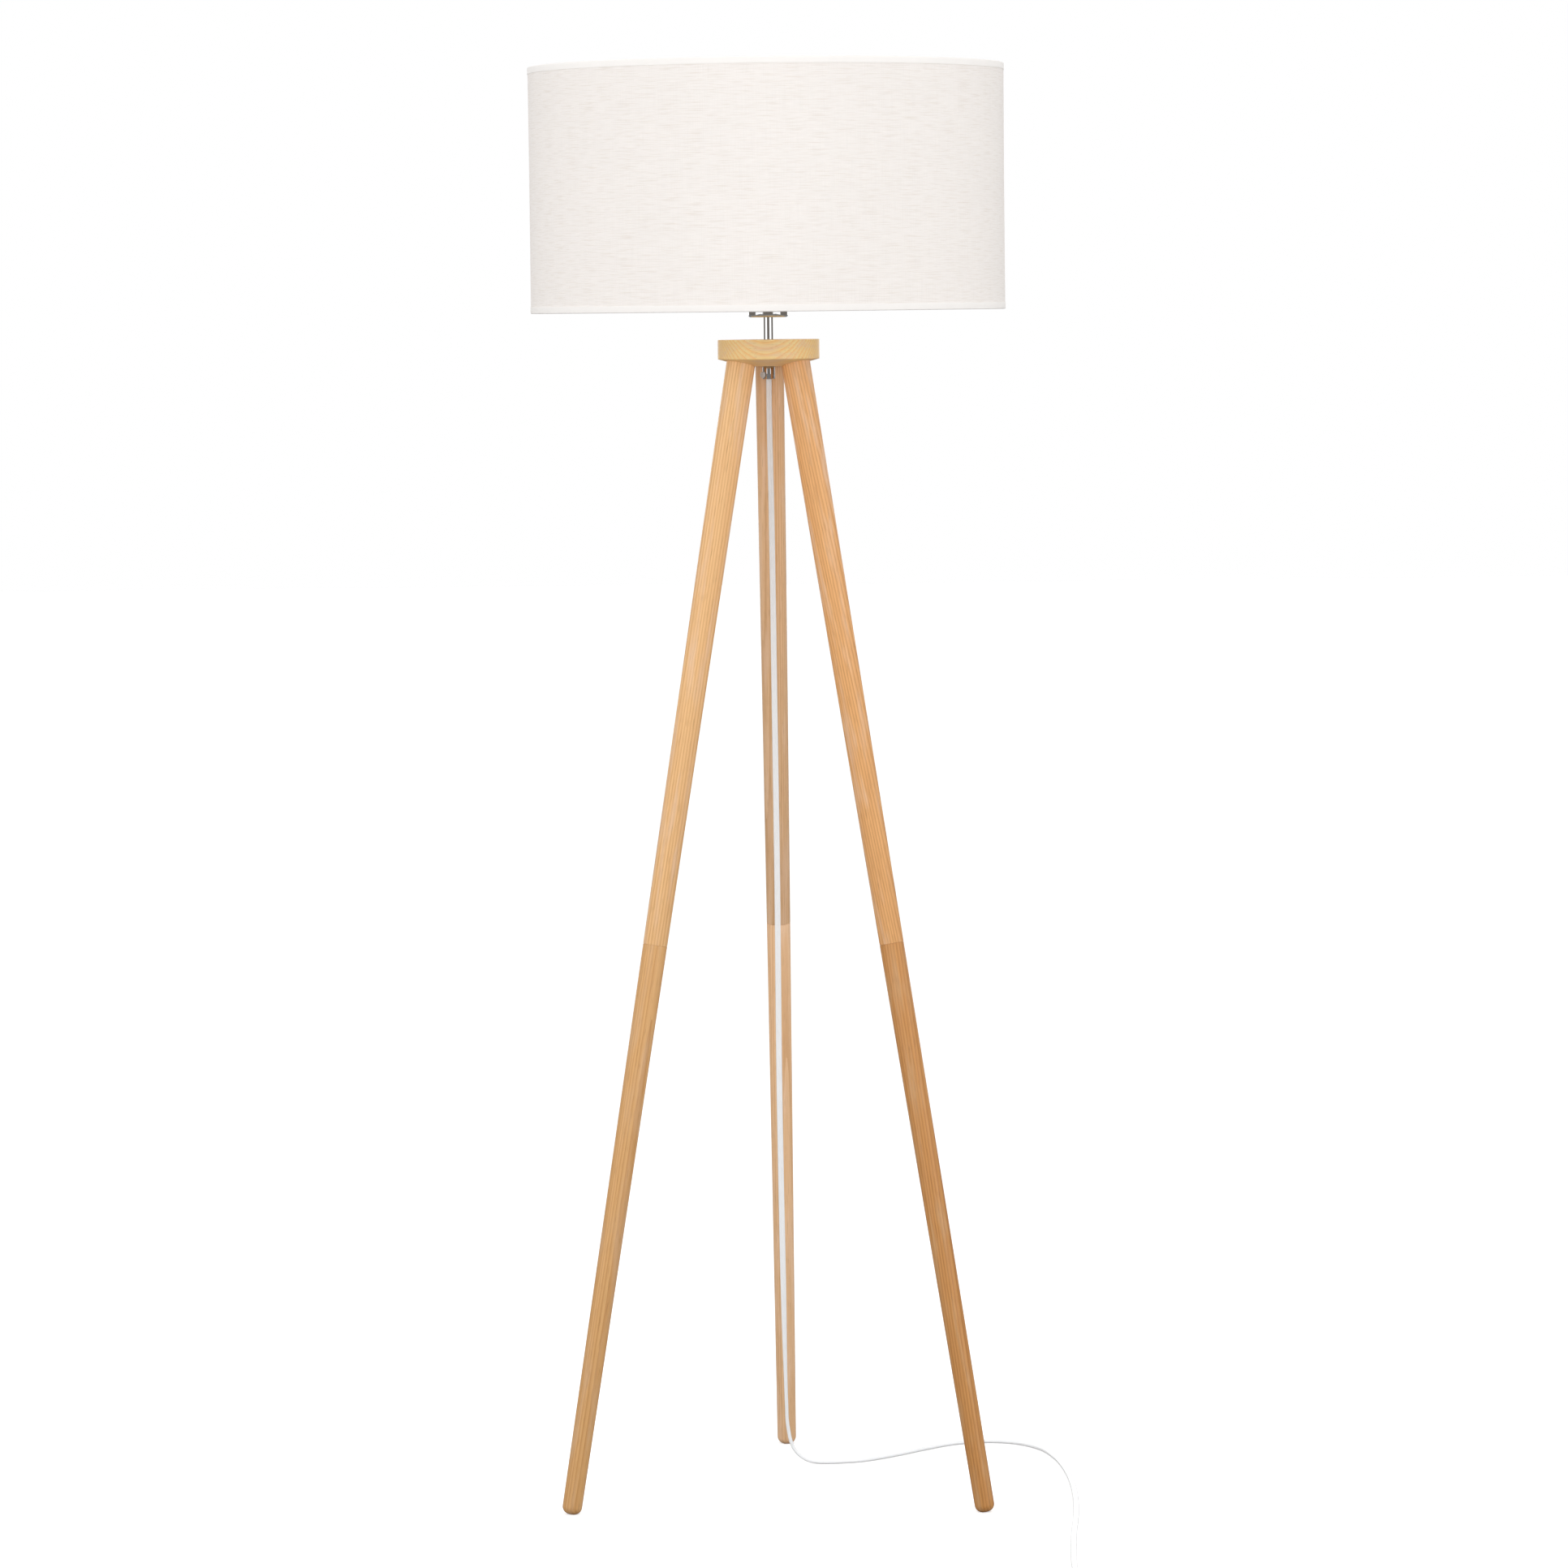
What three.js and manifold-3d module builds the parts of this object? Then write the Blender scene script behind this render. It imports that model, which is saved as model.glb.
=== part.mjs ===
// Tripod floor lamp: three turned oak legs, each in two halves, screwed into a round oak hub;
// a chrome tube through the hub carries the lampholder, the bulb and a drum shade; a flat cord
// leaves the tube through a cord grip, hangs to the floor and ends in a foot switch and a plug.
// Millimetres, +Z up. The origin is on the lamp's axis at floor level, and -Y is the front.
import * as THREE from "three";
import { mergeVertices } from "three/addons/utils/BufferGeometryUtils.js";
import Module from "manifold-3d";

const wasm = await Module();
wasm.setup();

// ---------------------------------------------------------------- driving dimensions

const GAP = 0.3; // clearance between pieces that touch
const DEGREE = Math.PI / 180;

// Hub: a disc with a straight rim, a bevelled underside and a flat centre below.
const HUB_RADIUS = 53.6;
const HUB_TOP = 1227.4;
const HUB_RIM_HEIGHT = 20;
const HUB_BEVEL_HEIGHT = 8;
const HUB_FLAT_RADIUS = 25.5;
const HUB_BORE_RADIUS = 5.4;
const HUB_COUNTERBORE = { radius: 8.6, depth: 5 };

// Legs: straight tapers whose axes lean in towards the hub.
const LEGS = [
  { side: "rear", azimuth: 90 },
  { side: "left", azimuth: 210 },
  { side: "right", azimuth: 330 },
];
const FOOT_CIRCLE_RADIUS = 251.2; // from the lamp's axis to a leg's axis at the floor
const HUB_CIRCLE_RADIUS = 32.4; // the same at the lower edge of the hub's rim
const LEG_FOOT_RADIUS = 10.3;
const LEG_TOP_RADIUS = 15.25;
const FOOT_ROUNDING = 8;
const FOOT_FLAT_DEPTH = 0.4; // what is sanded off where a foot meets the floor
const LEG_JOINT = 604; // from the foot to the joint of the two halves, along the leg
const WOOD_HOLE_DEPTH = 30;
const LEG_SEGMENTS = 16;

// Screws and inserts that join the legs, with plain cylinders in place of the M8 threads.
const STUD_RADIUS = 4;
const STUD_HOLE_RADIUS = 4.3;
const INSERT_RADIUS = 6;
const INSERT_HOLE_RADIUS = 6.3;
const HUB_INSERT_LENGTH = 14;
const JOINT_INSERT_LENGTH = 20;

// Chrome tube, its nuts, and the cord grip under the hub.
const TUBE_RADIUS = 5.1;
const TUBE_BORE_RADIUS = 3.8;
const TUBE_BOTTOM = 1193;
const TUBE_TOP = 1262;
const NUT_CORNER_RADIUS = 8;
const GRIP_RADIUS = 6.55;
const GRIP_LENGTH = 13.2;
const GRIP_CORD_BORE = 3.7;
const GRIP_SCREW_AZIMUTH = 220;
const GRIP_SCREW_HEIGHT = 4.5; // above the lower end of the grip

// Lampholder: chrome cup, cap, contact block and threaded shell with a flange.
const CUP_RADIUS = 21;
const CUP_BOTTOM = 1250.8;
const CUP_HEIGHT = 15;
const CUP_WALL = 1;
const CUP_ROUNDING = 2.5;
const SHELL_RADIUS = 19.7;
const SHELL_TOP = 1302;
const SOCKET_RADIUS = 14.8;

// Drum shade.
const SHADE_RADIUS = 250;
const SHADE_BOTTOM = 1257;
const SHADE_HEIGHT = 257;
const SKIN_THICKNESS = 1;
const HEM_HEIGHT = 7;
const HEM_THICKNESS = 0.5;
const RING_WIRE_RADIUS = 2;
const SPOKE_RADIUS = 1.75;
const SHADE_SEGMENTS = 48;
const WASHER = { inner: 20.2, outer: 28, thickness: 1.5 };

// Bulb: screw cap, plastic body and opal globe.
const BULB_CAP_RADIUS = 13.2;
const BULB_RADIUS = 30;
const BULB_LENGTH = 110;

// Flat twin cord, and the round coil that holds its spare length.
const CORD_WIDTH = 6.2;
const CORD_THICKNESS = 3.7;
const FLOOR_CORD_HEIGHT = CORD_THICKNESS / 2 + 0.15;
const COIL_CENTRE = [90, -510];
const COIL_OUTER_TURN = 37.3; // to the middle of the cord in the outer turn

// Foot switch and plug, which lie in one line along X in front of the lamp.
const SWITCH_X = 200;
const SWITCH = { length: 74, width: 44, corner: 20, base: 10, cover: 12, wall: 2.2 };
const SWITCH_TAIL = 22;
const TAIL_HEIGHT = 4.2;
const BUTTON_RADIUS = 14;
const BUTTON_TRAVEL = 3;
const PLUG_TAIL_END = -10; // where the cord meets the plug's strain relief
const PLUG_TAIL = 25;
const PLUG_BODY = { length: 34, halfWidth: 17.6, thickness: 13.6 };
const PIN = { radius: 2, length: 19, spacing: 18.6, seat: 8 };

// ---------------------------------------------------------------- finishes

const finish = (color, roughness, metalness = 0) =>
  new THREE.MeshStandardMaterial({ color, roughness, metalness });
const OAK = finish("#e0ae70", 0.42);
const OAK_HUB = finish("#e8b875", 0.4);
const CHROME = finish("#d9dadb", 0.08, 1);
const ZINC = finish("#b9bcc0", 0.35, 1);
const BRASS = finish("#c9a24c", 0.3, 1);
const NICKEL = finish("#c8c6c0", 0.25, 1);
const WHITE_PLASTIC = finish("#f2f2ef", 0.35);
const CLEAR_PLASTIC = finish("#e8ecee", 0.15);
const WHITE_WIRE = finish("#eceae6", 0.4);
const FABRIC = finish("#f1eeea", 0.9);
const HEM_TAPE = finish("#f3f2ed", 0.8);
const OPAL = finish("#f7f6f2", 0.3);
const CORD_PVC = finish("#e9ebeb", 0.3);

// ---------------------------------------------------------------- shape helpers

const lamp = new THREE.Group();

function place(name, geometry, material, group = lamp) {
  const mesh = new THREE.Mesh(geometry, material.clone());
  mesh.name = name;
  group.add(mesh);
  return mesh;
}

// A solid of revolution about Z from [radius, height] pairs, counterclockwise in that plane.
function turned(profile, segments = 24) {
  const points = profile.map(([r, z]) => new THREE.Vector2(r, z));
  return new THREE.LatheGeometry(points, segments).rotateX(Math.PI / 2);
}

function ringProfile(inner, outer, bottom, top) {
  return [
    [inner, bottom],
    [outer, bottom],
    [outer, top],
    [inner, top],
    [inner, bottom],
  ];
}

const rod = (radius, bottom, top, segments) =>
  turned([[0, bottom], [radius, bottom], [radius, top], [0, top]], segments);

// Points on an arc of a profile, from one angle to another in degrees.
function arc(r, z, radius, from, to, steps) {
  return Array.from({ length: steps + 1 }, (_, i) => {
    const angle = (from + ((to - from) * i) / steps) * DEGREE;
    return [r + radius * Math.cos(angle), z + radius * Math.sin(angle)];
  });
}

function solidOf(geometry) {
  const bare = new THREE.BufferGeometry();
  bare.setAttribute("position", geometry.getAttribute("position"));
  bare.setIndex(geometry.index);
  const merged = mergeVertices(bare, 1e-3);
  const vertProperties = merged.attributes.position.array;
  const triVerts = new Uint32Array(merged.index.array);
  return new wasm.Manifold(new wasm.Mesh({ numProp: 3, vertProperties, triVerts }));
}

function geometryOf(solid) {
  const { vertProperties, triVerts } = solid.getMesh();
  const geometry = new THREE.BufferGeometry();
  geometry.setAttribute("position", new THREE.BufferAttribute(vertProperties, 3));
  geometry.setIndex(new THREE.BufferAttribute(triVerts, 1));
  geometry.computeVertexNormals();
  return geometry;
}

const cut = (body, ...tools) =>
  geometryOf(tools.reduce((rest, tool) => rest.subtract(solidOf(tool)), solidOf(body)));

const join = (first, ...others) =>
  geometryOf(others.reduce((whole, other) => whole.add(solidOf(other)), solidOf(first)));

// A flat outline pulled straight up from one height to another.
function raised(shape, bottom, top, curveSegments = 4) {
  const depth = top - bottom;
  const options = { depth, curveSegments, bevelEnabled: false };
  return new THREE.ExtrudeGeometry(shape, options).translate(0, 0, bottom);
}

function polygon(points) {
  return new THREE.Shape(points.map(([x, y]) => new THREE.Vector2(x, y)));
}

function hexNut(corner, bore, bottom, top) {
  const corners = Array.from({ length: 6 }, (_, i) => {
    const angle = 60 * i * DEGREE;
    return [corner * Math.cos(angle), corner * Math.sin(angle)];
  });
  return cut(raised(polygon(corners), bottom, top), rod(bore, bottom - 1, top + 1, 24));
}

// ---------------------------------------------------------------- hub

const hubBottom = HUB_TOP - HUB_RIM_HEIGHT - HUB_BEVEL_HEIGHT;
const rimBottom = HUB_TOP - HUB_RIM_HEIGHT;
const splay = Math.atan((FOOT_CIRCLE_RADIUS - HUB_CIRCLE_RADIUS) / rimBottom);

// The hub's outline, grown by a margin on its underside and rim, and without its bore.
const hubOutline = (margin) => [
  [0, hubBottom - margin],
  [HUB_FLAT_RADIUS, hubBottom - margin],
  [HUB_RADIUS + margin, rimBottom - margin],
  [HUB_RADIUS + margin, HUB_TOP],
  [0, HUB_TOP],
];

// A foot's lowest point lies this far below the end of its leg's axis.
const footDrop =
  FOOT_ROUNDING * (1 - Math.cos(splay)) +
  (LEG_FOOT_RADIUS - FOOT_ROUNDING) * Math.sin(splay);
// From a leg's own frame, +Z up its axis from the foot, to a frame with the leg along +X.
const legToLamp = new THREE.Matrix4()
  .makeTranslation(FOOT_CIRCLE_RADIUS, 0, footDrop - FOOT_FLAT_DEPTH)
  .multiply(new THREE.Matrix4().makeRotationY(-splay));
const lampToLeg = legToLamp.clone().invert();

// How far up its own axis a leg meets the hub's bevel.
const bevelSlope = HUB_BEVEL_HEIGHT / (HUB_RADIUS - HUB_FLAT_RADIUS);
const meetingHeight =
  (hubBottom + (FOOT_CIRCLE_RADIUS - HUB_FLAT_RADIUS) * bevelSlope) /
  (1 + Math.tan(splay) * bevelSlope);
const legLength = meetingHeight / Math.cos(splay);
const hubHoleTop = legLength + HUB_INSERT_LENGTH + 2;

function makeHub() {
  const insertHoles = LEGS.map(({ azimuth }) =>
    rod(INSERT_HOLE_RADIUS, legLength - 6, hubHoleTop, 12)
      .applyMatrix4(legToLamp)
      .rotateZ(azimuth * DEGREE),
  );
  const bore = rod(HUB_BORE_RADIUS, hubBottom - 1, HUB_TOP + 1, 24);
  const nutSeatTop = hubBottom + HUB_COUNTERBORE.depth;
  const nutSeat = rod(HUB_COUNTERBORE.radius, hubBottom - 1, nutSeatTop, 24);
  place("hub", cut(turned(hubOutline(0), 48), bore, nutSeat, ...insertHoles), OAK_HUB);
}

// ---------------------------------------------------------------- legs

const legRadius = (along) =>
  LEG_FOOT_RADIUS + ((LEG_TOP_RADIUS - LEG_FOOT_RADIUS) * along) / legLength;

function lowerLegGeometry() {
  const corner = LEG_FOOT_RADIUS - FOOT_ROUNDING;
  const profile = [
    [0, 0],
    ...arc(corner, FOOT_ROUNDING, FOOT_ROUNDING, -90, 0, 4),
    [legRadius(LEG_JOINT), LEG_JOINT],
    [STUD_HOLE_RADIUS, LEG_JOINT],
    [STUD_HOLE_RADIUS, LEG_JOINT - WOOD_HOLE_DEPTH],
    [0, LEG_JOINT - WOOD_HOLE_DEPTH],
  ];
  const ground = new THREE.BoxGeometry(80, 80, 20).translate(FOOT_CIRCLE_RADIUS, 0, -10);
  return cut(turned(profile, LEG_SEGMENTS), ground.applyMatrix4(lampToLeg));
}

function upperLegGeometry() {
  const bottom = LEG_JOINT + GAP;
  const top = legLength + 8;
  const insertSeat = bottom + JOINT_INSERT_LENGTH + 2;
  const profile = [
    [0, insertSeat],
    [INSERT_HOLE_RADIUS, insertSeat],
    [INSERT_HOLE_RADIUS, bottom],
    [legRadius(bottom), bottom],
    [legRadius(top), top],
    [STUD_HOLE_RADIUS, top],
    [STUD_HOLE_RADIUS, legLength - WOOD_HOLE_DEPTH],
    [0, legLength - WOOD_HOLE_DEPTH],
  ];
  const hub = turned(hubOutline(GAP), 48).applyMatrix4(lampToLeg);
  return cut(turned(profile, LEG_SEGMENTS), hub);
}

const insert = (bottom, length) =>
  turned(ringProfile(STUD_HOLE_RADIUS, INSERT_RADIUS, bottom, bottom + length), 12);

function makeLegs() {
  const lower = lowerLegGeometry();
  const upper = upperLegGeometry();
  const jointInsert = insert(LEG_JOINT + GAP + 1, JOINT_INSERT_LENGTH);
  const hubInsert = insert(legLength + 1, HUB_INSERT_LENGTH);
  const jointStud = rod(STUD_RADIUS, LEG_JOINT - WOOD_HOLE_DEPTH + 1, LEG_JOINT + 19, 10);
  const hubStud = rod(STUD_RADIUS, legLength - WOOD_HOLE_DEPTH + 1, legLength + 14, 10);
  for (const { side, azimuth } of LEGS) {
    const turn = new THREE.Group();
    turn.rotation.z = azimuth * DEGREE;
    lamp.add(turn);
    const leg = new THREE.Group();
    leg.applyMatrix4(legToLamp);
    turn.add(leg);
    place(`leg_lower_${side}`, lower, OAK, leg);
    place(`leg_upper_${side}`, upper, OAK, leg);
    place(`joint_stud_${side}`, jointStud, ZINC, leg);
    place(`joint_insert_${side}`, jointInsert, BRASS, leg);
    place(`hub_stud_${side}`, hubStud, ZINC, leg);
    place(`hub_insert_${side}`, hubInsert, BRASS, leg);
  }
}

// ---------------------------------------------------------------- tube and cord grip

const gripTop = hubBottom - GAP;
const gripBottom = gripTop - GRIP_LENGTH;

function makeTube() {
  const tube = turned(ringProfile(TUBE_BORE_RADIUS, TUBE_RADIUS, TUBE_BOTTOM, TUBE_TOP), 24);
  place("centre_tube", tube, CHROME);
  const bore = TUBE_RADIUS + GAP;
  const lockNut = hexNut(NUT_CORNER_RADIUS, bore, hubBottom + 0.6, hubBottom + 4.6);
  place("tube_lock_nut", lockNut, ZINC);
}

// The grip is a sleeve on the tube's lower end; a thumbscrew in its side pinches the cord.
function makeCordGrip() {
  const shoulder = TUBE_BOTTOM - GAP;
  const sleeve = turned([
    [GRIP_CORD_BORE, gripBottom],
    [GRIP_RADIUS, gripBottom],
    [GRIP_RADIUS, gripTop],
    [TUBE_RADIUS + GAP, gripTop],
    [TUBE_RADIUS + GAP, shoulder],
    [GRIP_CORD_BORE, shoulder],
    [GRIP_CORD_BORE, gripBottom],
  ]);
  const height = gripBottom + GRIP_SCREW_HEIGHT;
  const aim = (geometry) =>
    geometry
      .rotateY(90 * DEGREE)
      .rotateZ(GRIP_SCREW_AZIMUTH * DEGREE)
      .translate(0, 0, height);
  place("cord_grip", cut(sleeve, aim(rod(1.8, 2, 9, 16))), CHROME);

  const knobStart = GRIP_RADIUS + GAP;
  const knob = Array.from({ length: 24 }, (_, i) => {
    const angle = 15 * i * DEGREE;
    const radius = i % 2 ? 3.05 : 3.4;
    return [radius * Math.cos(angle), radius * Math.sin(angle)];
  });
  const shank = rod(1.5, GRIP_CORD_BORE - 0.2, knobStart + 1, 16);
  const screw = join(shank, raised(polygon(knob), knobStart, knobStart + 2.6));
  place("cord_grip_screw", aim(screw), CLEAR_PLASTIC);
}

// ---------------------------------------------------------------- lampholder

const cupRim = CUP_BOTTOM + CUP_HEIGHT;
const flangeBottom = cupRim + GAP;
const flangeTop = flangeBottom + 2;
const washerBottom = flangeTop + GAP;
const nutRingBottom = washerBottom + WASHER.thickness + GAP;

function makeCup() {
  const inner = CUP_RADIUS - CUP_WALL;
  const inside = CUP_ROUNDING - CUP_WALL;
  const cup = turned([
    [TUBE_RADIUS + GAP, CUP_BOTTOM],
    ...arc(CUP_RADIUS - CUP_ROUNDING, CUP_BOTTOM + CUP_ROUNDING, CUP_ROUNDING, -90, 0, 3),
    [CUP_RADIUS, cupRim],
    [inner, cupRim],
    ...arc(CUP_RADIUS - CUP_ROUNDING, CUP_BOTTOM + CUP_ROUNDING, inside, 0, -90, 2),
    [TUBE_RADIUS + GAP, CUP_BOTTOM + CUP_WALL],
    [TUBE_RADIUS + GAP, CUP_BOTTOM],
  ], 32);
  place("lampholder_cup", cup, CHROME);
  const nutBottom = CUP_BOTTOM + CUP_WALL + GAP;
  place("cup_nut", hexNut(NUT_CORNER_RADIUS, TUBE_RADIUS + GAP, nutBottom, nutBottom + 3), ZINC);
}

function makeLampholder() {
  const capBottom = CUP_BOTTOM + CUP_WALL + 3 + 2 * GAP;
  const capTop = TUBE_TOP + 2;
  const capRadius = CUP_RADIUS - CUP_WALL - GAP - 0.2;
  const cap = turned([
    [TUBE_RADIUS + GAP, capBottom],
    [capRadius - 3, capBottom],
    [capRadius, capBottom + 3],
    [capRadius, capTop],
    [TUBE_RADIUS + GAP, capTop],
    [TUBE_RADIUS + GAP, capBottom],
  ]);
  place("lampholder_cap", cap, WHITE_PLASTIC);

  const blockTop = capTop + GAP + 6.5;
  place("contact_block", rod(16.4, capTop + GAP, blockTop), WHITE_PLASTIC);
  const centreStrip = polygon([[-6, 0], [5, 0], [5, 0.6], [2, 0.6], [0, 1.8], [-2, 1.8], [-6, 0.6]]);
  const centreContact = raised(centreStrip, -2.5, 2.5)
    .rotateX(90 * DEGREE)
    .translate(0, 0, blockTop + GAP);
  place("centre_contact", centreContact, BRASS);
  const sideContact = new THREE.BoxGeometry(0.5, 4, 11);
  sideContact.translate(13.8, 0, blockTop + 2 * GAP + 6);
  place("side_contact", sideContact, BRASS);

  const innerStep = blockTop + GAP;
  const shell = turned([
    [16.8, flangeBottom],
    [CUP_RADIUS, flangeBottom],
    [CUP_RADIUS, flangeTop],
    [SHELL_RADIUS, flangeTop],
    [SHELL_RADIUS, SHELL_TOP - 1],
    [SHELL_RADIUS - 1, SHELL_TOP],
    [SOCKET_RADIUS, SHELL_TOP],
    [SOCKET_RADIUS, innerStep],
    [16.8, innerStep],
    [16.8, flangeBottom],
  ], 32);
  place("lampholder_shell", shell, WHITE_PLASTIC);
}

// The ring nut screws down over the shell and clamps the shade's washer on the flange.
function makeShadeRingNut() {
  const outline = Array.from({ length: 48 }, (_, i) => {
    const angle = 7.5 * i * DEGREE;
    const radius = i % 4 < 2 ? 27 : 26;
    return [radius * Math.cos(angle), radius * Math.sin(angle)];
  });
  const body = raised(polygon(outline), nutRingBottom, nutRingBottom + 7);
  const thread = rod(SHELL_RADIUS + GAP + 0.1, nutRingBottom - 1, nutRingBottom + 8, 32);
  place("shade_ring_nut", cut(body, thread), WHITE_PLASTIC);
}

// ---------------------------------------------------------------- bulb

const bulbTip = TUBE_TOP + 2 + 2 * GAP + 6.5 + 2.2;

function makeBulb() {
  place("bulb_tip_contact", rod(4.5, bulbTip, bulbTip + 1.2, 20), NICKEL);
  const capBottom = bulbTip + 1.2 + GAP;
  const capTop = bulbTip + 25;
  const cap = turned([
    [0, capBottom],
    [7, capBottom],
    [BULB_CAP_RADIUS - 0.8, capBottom + 3],
    [BULB_CAP_RADIUS - 0.8, capBottom + 4],
    ...arc(BULB_CAP_RADIUS - 1, capBottom + 6, 1, -90, 90, 2),
    ...arc(BULB_CAP_RADIUS - 1, capBottom + 9.6, 1, -90, 90, 2),
    ...arc(BULB_CAP_RADIUS - 1, capBottom + 13.2, 1, -90, 90, 2),
    [BULB_CAP_RADIUS - 0.6, capBottom + 15],
    [BULB_CAP_RADIUS - 0.6, capTop],
    [0, capTop],
  ]);
  place("bulb_screw_cap", cap, NICKEL);

  const globeBottom = bulbTip + 66;
  const body = turned([
    [0, capTop + GAP],
    [13.8, capTop + GAP],
    [13.8, SHELL_TOP + 2],
    [17, SHELL_TOP + 8],
    [24, SHELL_TOP + 22],
    [28.6, globeBottom - 2],
    [28.6, globeBottom],
    [0, globeBottom],
  ]);
  place("bulb_body", body, WHITE_PLASTIC);

  const globeTop = bulbTip + BULB_LENGTH;
  const centre = globeTop - BULB_RADIUS;
  const startAngle = -Math.asin((centre - globeBottom - GAP) / BULB_RADIUS) / DEGREE;
  const globe = turned([
    [0, globeBottom + GAP],
    ...arc(0, centre, BULB_RADIUS, startAngle, 82, 8),
    [0, globeTop],
  ]);
  place("bulb_globe", globe, OPAL);
}

// ---------------------------------------------------------------- shade

const shadeTop = SHADE_BOTTOM + SHADE_HEIGHT;
const skinOuter = SHADE_RADIUS - HEM_THICKNESS - GAP;
const skinInner = skinOuter - SKIN_THICKNESS;
const ringRadius = skinInner - GAP - RING_WIRE_RADIUS;
const hemInner = ringRadius - RING_WIRE_RADIUS - GAP - HEM_THICKNESS;
const ringInset = HEM_THICKNESS + GAP + RING_WIRE_RADIUS; // from the shade's end to the wire

// The hem tape folds over the edge of the skin and the ring wire; its legs point down.
const hemProfile = () => [
  [hemInner, -HEM_HEIGHT],
  [hemInner + HEM_THICKNESS, -HEM_HEIGHT],
  [hemInner + HEM_THICKNESS, -HEM_THICKNESS],
  [SHADE_RADIUS - HEM_THICKNESS, -HEM_THICKNESS],
  [SHADE_RADIUS - HEM_THICKNESS, -HEM_HEIGHT],
  [SHADE_RADIUS, -HEM_HEIGHT],
  [SHADE_RADIUS, 0],
  [hemInner, 0],
  [hemInner, -HEM_HEIGHT],
];

function makeShade() {
  const edge = HEM_THICKNESS + GAP;
  const skin = ringProfile(skinInner, skinOuter, SHADE_BOTTOM + edge, shadeTop - edge);
  place("shade_skin", turned(skin, SHADE_SEGMENTS), FABRIC);

  const topHem = turned(hemProfile(), SHADE_SEGMENTS).translate(0, 0, shadeTop);
  place("shade_hem_top", topHem, HEM_TAPE);
  const upturned = hemProfile().map(([r, z]) => [r, -z]).reverse();
  const bottomHem = turned(upturned, SHADE_SEGMENTS).translate(0, 0, SHADE_BOTTOM);
  place("shade_hem_bottom", bottomHem, HEM_TAPE);

  const wire = arc(ringRadius, 0, RING_WIRE_RADIUS, 0, 360, 6);
  const topRing = turned(wire, SHADE_SEGMENTS).translate(0, 0, shadeTop - ringInset);
  place("shade_ring_top", topRing, WHITE_WIRE);
  const lowRing = turned(wire, SHADE_SEGMENTS).translate(0, 0, SHADE_BOTTOM + ringInset);
  place("shade_ring_bottom", lowRing, WHITE_WIRE);
}

// Three spokes rise from just inside the lower ring to the washer on the lampholder.
function makeSpider() {
  const washerMiddle = washerBottom + WASHER.thickness / 2;
  const outerEnd = hemInner - GAP;
  const outerHeight = SHADE_BOTTOM + ringInset;
  const innerEnd = WASHER.outer - 2;
  const rise = washerMiddle - outerHeight;
  const run = outerEnd - innerEnd;
  const spokes = LEGS.map(({ azimuth }) =>
    rod(SPOKE_RADIUS, 0, Math.hypot(rise, run), 8)
      .rotateY(-Math.atan2(run, rise))
      .translate(outerEnd, 0, outerHeight)
      .rotateZ(azimuth * DEGREE),
  );
  const top = washerBottom + WASHER.thickness;
  const washer = turned(ringProfile(WASHER.inner, WASHER.outer, washerBottom, top), 32);
  // The washer is pressed flat, so the spokes are trimmed level with its two faces there.
  const reach = WASHER.outer + 0.5;
  const below = ringProfile(WASHER.inner - 1, reach, washerBottom - 8, washerBottom);
  const above = ringProfile(WASHER.inner - 1, reach, top, top + 8);
  const spider = cut(join(washer, ...spokes), turned(below, 32), turned(above, 32));
  place("shade_spider", spider, WHITE_WIRE);
}

// ---------------------------------------------------------------- cord

const switchY = COIL_CENTRE[1] - COIL_OUTER_TURN;
const cordExit = [0, 0, gripBottom - GAP];

// The free drop, from the cord grip to just above the floor, drifting towards the rear leg.
const DROP_ROUTE = [
  cordExit,
  [0, 0.5, 1150],
  [1, 6, 1050],
  [1.6, 21, 850],
  [1.8, 42, 640],
  [1, 68, 430],
  [1.8, 97, 230],
  [3.4, 124, 70],
];
// The bend onto the floor, the loose curve behind the right leg and the run to the front.
const FLOOR_ROUTE = [
  [3.4, 124, 70],
  [4.6, 129, 42],
  [11, 131, 17],
  [24, 131, 5.4],
  [37.5, 131, 2.5],
  [52, 132, FLOOR_CORD_HEIGHT],
  [83, 140, FLOOR_CORD_HEIGHT],
  [119, 168, FLOOR_CORD_HEIGHT],
  [154, 204, FLOOR_CORD_HEIGHT],
  [187, 233, FLOOR_CORD_HEIGHT],
  [220, 243, FLOOR_CORD_HEIGHT],
  [252, 236, FLOOR_CORD_HEIGHT],
  [280, 204, FLOOR_CORD_HEIGHT],
  [297, 150, FLOOR_CORD_HEIGHT],
  [308, 70, FLOOR_CORD_HEIGHT],
  [313, -30, FLOOR_CORD_HEIGHT],
  [312, -140, FLOOR_CORD_HEIGHT],
  [307, -250, FLOOR_CORD_HEIGHT],
  [304, -360, FLOOR_CORD_HEIGHT],
  [304, -455, FLOOR_CORD_HEIGHT],
  [303, -509.3, FLOOR_CORD_HEIGHT],
  [297.9, -528.3, FLOOR_CORD_HEIGHT + 0.4],
  [284, -542.2, 3.2],
  [265, switchY, 4.1],
  [SWITCH_X + SWITCH.length / 2 + SWITCH_TAIL + GAP, switchY, TAIL_HEIGHT],
];
const TO_COIL_ROUTE = [
  [SWITCH_X - SWITCH.length / 2 - SWITCH_TAIL - GAP, switchY, TAIL_HEIGHT],
  [137, switchY, TAIL_HEIGHT],
  [126, switchY, 2.8],
  [COIL_CENTRE[0] + 24, switchY, FLOOR_CORD_HEIGHT],
];
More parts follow.
